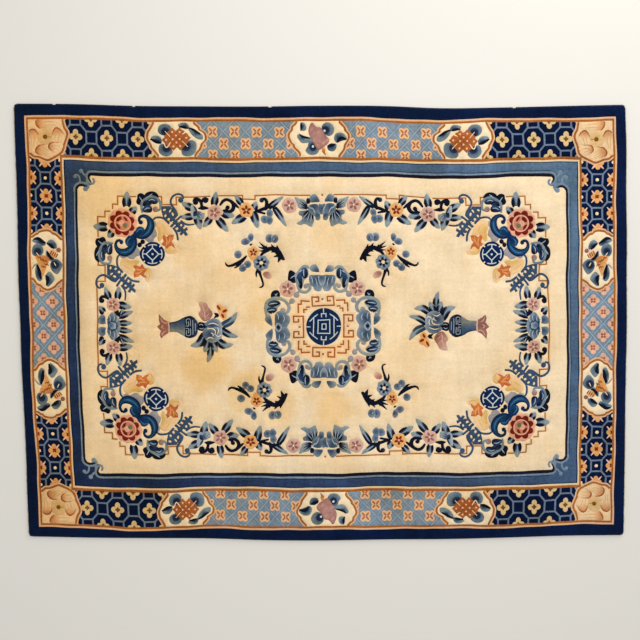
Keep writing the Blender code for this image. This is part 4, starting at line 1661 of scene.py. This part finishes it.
# %% Back of the knots: flatter than the pile, with the weft showing between the rows
def knotted_back():
    material, tree, shader = new_material("wool_knots_seen_from_the_back", Roughness=0.95,
        Specular_IOR_Level=0.1)
    place = add(tree, "ShaderNodeTexCoord").outputs["Object"]
    dye = add(tree, "ShaderNodeAttribute", attribute_name="dye").outputs["Color"]
    colour, _ = weathered(tree, place, dye)
    across, along = (add(tree, "ShaderNodeTexWave", {"Vector": place, "Scale": 0.157 / KNOT},
        bands_direction=axis).outputs["Fac"] for axis in "XY")
    grid = reckon(tree, "MULTIPLY", across, along)
    weft = ranged(tree, across, 0.0, 0.35, 0.45, 0.0)
    cotton = (*linear("#BFB08F"), 1.0)
    mixed = add(tree, "ShaderNodeMix", {0: weft, 6: colour, 7: cotton}, data_type="RGBA")
    tree.links.new(mixed.outputs[2], shader.inputs["Base Color"])
    raised(tree, shader, grid, 0.6, 0.001)
    return material


# %% Navy yarn of the selvedge, worn through to the cotton cord in a few places
WORN_AT = [-1.160, -0.816, -0.228, 0.830]      # metres along the back edge


def navy_yarn():
    material, tree, shader = new_material("navy_wool_yarn_worn", Roughness=0.9, Sheen_Weight=0.15,
        Sheen_Roughness=0.5, Specular_IOR_Level=0.15)
    place = add(tree, "ShaderNodeTexCoord").outputs["Object"]
    fibres = noise(tree, place, 900.0, 3.0)
    patches = noise(tree, place, 35.0, 4.0, 0.6)
    shades = two_shades(tree, patches, (0.32, "#0A1026"), (0.70, "#1D2B50"))
    parts = add(tree, "ShaderNodeSeparateXYZ", {"Vector": place})
    worn = None
    for x in WORN_AT:
        away = reckon(tree, "SUBTRACT", parts.outputs["X"], x)
        spot = ranged(tree, reckon(tree, "ABSOLUTE", away), 0.011, 0.003, 0.0, 1.6)
        worn = spot if worn is None else reckon(tree, "MAXIMUM", worn, spot)
    back_edge = reckon(tree, "GREATER_THAN", parts.outputs["Y"], 0.5)
    worn = reckon(tree, "MULTIPLY", worn, back_edge)
    torn = reckon(tree, "MULTIPLY", worn, patches)
    share = ranged(tree, torn, 0.38, 0.62)
    colour = add(tree, "ShaderNodeMix", {0: share, 6: shades, 7: (*linear("#D8CDB4"), 1.0)},
        data_type="RGBA")
    tree.links.new(colour.outputs[2], shader.inputs["Base Color"])
    raised(tree, shader, fibres, 0.5, 0.0004)
    return material


# %% Cotton of the end webs: unbleached, greyed by dust
def web_cotton():
    material, tree, shader = new_material("unbleached_cotton_yarn", Roughness=0.88, Sheen_Weight=0.1,
        Specular_IOR_Level=0.2)
    place = add(tree, "ShaderNodeTexCoord").outputs["Object"]
    dust = noise(tree, place, 28.0, 5.0, 0.65)
    shades = two_shades(tree, dust, (0.30, "#8D7F68"), (0.62, "#DCD2BC"))
    tree.links.new(shades, shader.inputs["Base Color"])
    raised(tree, shader, noise(tree, place, 1100.0, 3.0), 0.5, 0.0003)
    return material


print("worn through at", WORN_AT)

# %% [markdown]
# ## The pile and the back as meshes
# The pile's top face goes down over its rounded rim and then straight down to the back, which
# shows the same pattern, because every knot goes right round its warps. One mesh for all of it
# would pass 200,000 triangles, so the cloth is shown as three that share their edges: the border
# with the rim, the field, and the back. The seam between field and border runs in the groove
# along the black line.

# %% Colours and meshes
def corner_colours(points, triangles, number):
    """The dye at each corner of each triangle, in linear light."""
    colours = np.zeros((len(triangles), 3, 3))
    order = np.argsort(number, kind="stable")
    cuts = np.flatnonzero(np.diff(number[order])) + 1
    for group in np.split(order, cuts):
        s = drawing[number[group[0]]]
        first = srgb(DYES[s.dye])
        if s.other is None:
            colours[group] = first
            continue
        start, run = s.anchors[0], s.anchors[1] - s.anchors[0]
        away = points[triangles[group]] - start
        if s.round_fade:
            share = np.linalg.norm(away, axis=2) / hypot(*run)
        else:
            share = away @ run / (run @ run)
        share = np.clip(share, 0, 1)[..., None]
        colours[group] = first * (1 - share) + srgb(DYES[s.other]) * share
    return to_linear(colours)


def new_mesh(name, places, faces, colours, material):
    """A smooth-shaded mesh object of triangles and quads with a dye colour at each corner."""
    mesh = bpy.data.meshes.new(name)
    mesh.from_pydata(places.tolist(), [], faces)
    layer = mesh.color_attributes.new("dye", "FLOAT_COLOR", "CORNER")
    flat = np.ones((len(mesh.loops), 4), np.float32)
    flat[:, :3] = colours
    layer.data.foreach_set("color", flat.ravel())
    mesh.materials.append(material)
    mesh.shade_smooth()
    mesh.update()
    thing = bpy.data.objects.new(name, mesh)
    bpy.context.scene.collection.objects.link(thing)
    return thing


def facing(places, triangles, up):
    """Turns round the triangles that look the wrong way."""
    a, b, c = (places[triangles[:, k]] for k in range(3))
    turned = ((b - a)[:, 0] * (c - a)[:, 1] - (b - a)[:, 1] * (c - a)[:, 0] > 0) != up
    return np.where(turned[:, None], triangles[:, ::-1], triangles), turned


def dressed_faces(cut_face, keep, height, up):
    """The chosen triangles of a cut face: their places, faces and corner colours."""
    points, triangles, number, _ = cut_face
    places = np.column_stack([on_floor(points), height])
    faces, turned = facing(places, triangles[keep], up)
    colours = corner_colours(points, triangles[keep], number[keep])
    return places, faces, np.where(turned[:, None, None], colours[:, ::-1], colours).reshape(-1, 3)


def compact(places, triangles):
    used, small = np.unique(triangles, return_inverse=True)
    return places[used], small.reshape(-1, 3), used


def pile_piece(name, keep, material, with_rim=False):
    """Part of the pile's top face, and with_rim also its rounded edge and side."""
    height = (RUG_THICKNESS - GROOVE_DEPTH * top[3]) * MM
    places, picked, colours = dressed_faces(top, keep, height, True)
    places, picked, used = compact(places, picked)
    faces = picked.tolist()
    if with_rim:
        rim = rim_at(inner + PILE_ROUNDING)
        tree = search_tree(top[0][used])
        ring = [tree.find((x, y, 0.0))[1] for x, y in rim.tolist()]
        profile = [(inner + PILE_ROUNDING * (1 - sin(pi / 2 * k / 4)),
            RUG_THICKNESS - PILE_ROUNDING * (1 - cos(pi / 2 * k / 4))) for k in range(1, 5)]
        profile += [(inner, 5.0), (inner, FOOT_BEVEL), (inner + FOOT_BEVEL, 0.0)]
        side_faces = []
        for inset, level in profile:
            line = on_floor(rim_at(inset))
            first = len(places)
            places = np.vstack([places, np.column_stack([line, np.full(len(line), level * MM)])])
            following = list(range(first, first + len(line)))
            for k in range(len(ring)):
                n = (k + 1) % len(ring)
                side_faces.append((ring[k], ring[n], following[n], following[k]))
            ring = following
        faces += side_faces
        navy = np.tile(linear(DYES["navy"]), (4 * len(side_faces), 1))
        colours = np.vstack([colours, navy])
    return new_mesh(name, places, faces, colours, material)


pile_material = wool_pile()
middles = top[0][top[1]].mean(1)
in_field = (np.abs(middles[:, 0]) < BANDS[-1][1]) & (np.abs(middles[:, 1]) < BANDS[-1][2])
pile_border = pile_piece("pile_border", ~in_field, pile_material, with_rim=True)
pile_field = pile_piece("pile_field", in_field, pile_material)

places, picked, colours = dressed_faces(back, slice(None), np.zeros(len(back[0])), False)
back_face = new_mesh("knotted_back", places, picked.tolist(), colours, knotted_back())
for piece in (pile_border, pile_field, back_face):
    print(piece.name, sum(len(p.vertices) - 2 for p in piece.data.polygons), "triangles")

# %% [markdown]
# ## Edge finishes
# Along both long edges, navy wool is wound over a cord to bind the last warps. At the short ends
# the cotton foundation is turned under, and its loops show as a thin pale line. Both are rows of
# small loops that follow an edge, so one Geometry Nodes tree makes them: it lays a tilted loop
# at every pitch along a path, over a plain core.

# %% A tree of loops along a path
SIZES = ("Pitch", "Half width", "Half height", "Strand radius", "Tilt")


def loop_tree():
    tree = bpy.data.node_groups.new("loops_along_an_edge", "GeometryNodeTree")
    face = tree.interface
    face.new_socket("Geometry", in_out="INPUT", socket_type="NodeSocketGeometry")
    for name in SIZES:
        face.new_socket(name, in_out="INPUT", socket_type="NodeSocketFloat")
    face.new_socket("Material", in_out="INPUT", socket_type="NodeSocketMaterial")
    face.new_socket("Geometry", in_out="OUTPUT", socket_type="NodeSocketGeometry")
    given = add(tree, "NodeGroupInput").outputs
    path = add(tree, "GeometryNodeMeshToCurve", {"Mesh": given["Geometry"]})
    upright = add(tree, "GeometryNodeSetCurveNormal", {"Curve": path.outputs["Curve"]}, mode="Z_UP")
    spaced = add(tree, "GeometryNodeCurveToPoints", {"Curve": upright.outputs["Curve"],
        "Length": given["Pitch"]}, mode="LENGTH")
    across = reckon(tree, "SUBTRACT", given["Half width"], given["Strand radius"])
    upward = reckon(tree, "SUBTRACT", given["Half height"], given["Strand radius"])
    size = add(tree, "ShaderNodeCombineXYZ", {"X": across, "Y": upward, "Z": 1.0})
    tilt = add(tree, "ShaderNodeCombineXYZ", {"X": given["Tilt"]})
    circle = add(tree, "GeometryNodeCurvePrimitiveCircle", {"Resolution": 10, "Radius": 1.0})
    oval_loop = add(tree, "GeometryNodeTransform", {"Geometry": circle.outputs["Curve"],
        "Scale": size.outputs[0]})
    leaning = add(tree, "GeometryNodeTransform", {"Geometry": oval_loop.outputs[0],
        "Rotation": tilt.outputs[0]})
    strand = add(tree, "GeometryNodeCurvePrimitiveCircle", {"Resolution": 4,
        "Radius": given["Strand radius"]})
    loop = add(tree, "GeometryNodeCurveToMesh", {"Curve": leaning.outputs[0],
        "Profile Curve": strand.outputs["Curve"]})
    loops = add(tree, "GeometryNodeInstanceOnPoints", {"Points": spaced.outputs["Points"],
        "Instance": loop.outputs["Mesh"], "Rotation": spaced.outputs["Rotation"]})
    core_line = add(tree, "GeometryNodeResampleCurve", {"Curve": upright.outputs["Curve"], "Length": 0.02},
        mode="LENGTH")
    core = add(tree, "GeometryNodeCurveToMesh", {"Curve": core_line.outputs["Curve"],
        "Profile Curve": oval_loop.outputs[0], "Fill Caps": True})
    joined = add(tree, "GeometryNodeJoinGeometry", {"Geometry": loops.outputs["Instances"]})
    tree.links.new(core.outputs["Mesh"], joined.inputs["Geometry"])
    real = add(tree, "GeometryNodeRealizeInstances", {"Geometry": joined.outputs["Geometry"]})
    dressed = add(tree, "GeometryNodeSetMaterial", {"Geometry": real.outputs["Geometry"],
        "Material": given["Material"]})
    add(tree, "NodeGroupOutput", {"Geometry": dressed.outputs["Geometry"]})
    return tree


def edge_path(side, inset, height):
    """The line along a side, halfway round the corner at each end."""
    rim = rim_at(inset)
    spans = [round((LENGTH - 2 * CORNER_RADIUS) / STATION_STEP),
        round((WIDTH - 2 * CORNER_RADIUS) / STATION_STEP)]
    start = CORNER_STEPS // 2
    for k in range(side):
        start += CORNER_STEPS + spans[k % 2]
    ids = [(start + k) % len(rim) for k in range(CORNER_STEPS + spans[side % 2] + 1)]
    line = on_floor(rim[ids])
    return np.column_stack([line, np.full(len(line), height * MM)])


def loops_along(name, path, sizes, tree, material):
    """Runs the tree on a path, and keeps the result as a plain mesh."""
    mesh = bpy.data.meshes.new(name + "_path")
    mesh.from_pydata(path.tolist(), [(k, k + 1) for k in range(len(path) - 1)], [])
    guide = bpy.data.objects.new(name + "_path", mesh)
    bpy.context.scene.collection.objects.link(guide)
    grown = guide.modifiers.new("loops", "NODES")
    grown.node_group = tree
    values = dict(zip(SIZES, sizes), Material=material)
    for item in tree.interface.items_tree:
        if item.in_out == "INPUT" and item.name in values:
            grown[item.identifier] = values[item.name]
    graph = bpy.context.evaluated_depsgraph_get()
    plain = bpy.data.meshes.new_from_object(guide.evaluated_get(graph), depsgraph=graph)
    guide.modifiers.remove(grown)
    bpy.data.objects.remove(guide, do_unlink=True)
    plain.name = name
    plain.shade_smooth()
    thing = bpy.data.objects.new(name, plain)
    bpy.context.scene.collection.objects.link(thing)
    return thing


SIDES = ("back", "right", "front", "left")
CORD_SIZES = (0.0030, 0.0030, 0.0035, 0.0010, radians(28))
WEB_SIZES = (0.0025, 0.0030, 0.0015, 0.0007, radians(12))
edge_tree = loop_tree()
yarn, cotton = navy_yarn(), web_cotton()
edges_made = {}
for number_of_side, side in enumerate(SIDES):
    is_cord = side in ("back", "front")
    made_name = f"overcast_{side}" if is_cord else f"web_loops_{side}"
    sizes = CORD_SIZES if is_cord else WEB_SIZES
    path = edge_path(number_of_side, EDGE_FINISH / 2, sizes[2] / MM)
    edges_made[side] = loops_along(made_name, path, sizes, edge_tree, yarn if is_cord else cotton)
    print(made_name, sum(len(p.vertices) - 2 for p in edges_made[side].data.polygons), "triangles")

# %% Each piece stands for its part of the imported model
for piece in (pile_border, pile_field, back_face):
    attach(piece, "root")
    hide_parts("rug_body")
for side, piece in edges_made.items():
    is_cord = side in ("back", "front")
    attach(piece, "root")
    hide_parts(f"selvedge_{side}" if is_cord else f"end_web_{side}")

# %% [markdown]
# ## Floor, light and camera
# The rug lies on a plain pale floor, under soft even light from above and from the back, as in a
# room with a large window. The low light from the back brings out the carved grooves. The camera
# looks almost straight down with the lens that gives the photograph's edges.

# %% Floor
FLOOR_HALF = 7.0         # metres
FLOOR_LEVEL = -0.0006    # just under the rug, so that the two don't flicker
floor_mesh = bpy.data.meshes.new("studio_floor")
floor_corners = [(FLOOR_HALF * x, FLOOR_HALF * y, FLOOR_LEVEL) for x, y in ((-1, -1), (1, -1), (1, 1),
    (-1, 1))]
floor_mesh.from_pydata(floor_corners, [], [(0, 1, 2, 3)])
floor = bpy.data.objects.new("studio_floor", floor_mesh)
bpy.context.scene.collection.objects.link(floor)
paint, _, _ = new_material("pale_floor_paint", Roughness=0.8, Specular_IOR_Level=0.2,
    Base_Color=(*linear("#D9D5CC"), 1.0))
floor_mesh.materials.append(paint)

# %% Light
world = bpy.data.worlds.new("soft_room")
bpy.context.scene.world = world
world.use_nodes = True
sky = world.node_tree.nodes["Background"]
sky.inputs["Color"].default_value = (0.97, 0.98, 1.0, 1.0)
sky.inputs["Strength"].default_value = 0.62
LIGHTS = [   # name, place, size, watts
    ("window", (1.5, 3.3, 2.6), 2.6, 100.0),
    ("ceiling", (0.2, 0.0, 4.8), 3.6, 80.0),
]
for name, place, size, watts in LIGHTS:
    lamp = bpy.data.lights.new(name, "AREA")
    lamp.shape = "SQUARE"
    lamp.size = size
    lamp.energy = watts
    holder = bpy.data.objects.new(name, lamp)
    holder.location = place
    holder.rotation_euler = (-Vector(place)).to_track_quat("-Z", "Y").to_euler()
    bpy.context.scene.collection.objects.link(holder)
bpy.context.scene.view_settings.view_transform = "Standard"

# %% Camera
CAMERA_PLACE = (-0.0303, 0.2544, 3.901)        # over the nominal middle of the rug
CAMERA_TURN = (-3.539, -0.216, -0.312)         # degrees
lens = bpy.data.cameras.new("camera")
lens.lens = 50.0
lens.sensor_width = 36.0
camera = bpy.data.objects.new("camera", lens)
camera.location = (CAMERA_PLACE[0] - MIDDLE[0] * MM, CAMERA_PLACE[1] - MIDDLE[1] * MM, CAMERA_PLACE[2])
camera.rotation_euler = [radians(a) for a in CAMERA_TURN]
bpy.context.scene.collection.objects.link(camera)
bpy.context.scene.camera = camera
print("camera", [round(v, 3) for v in camera.location])
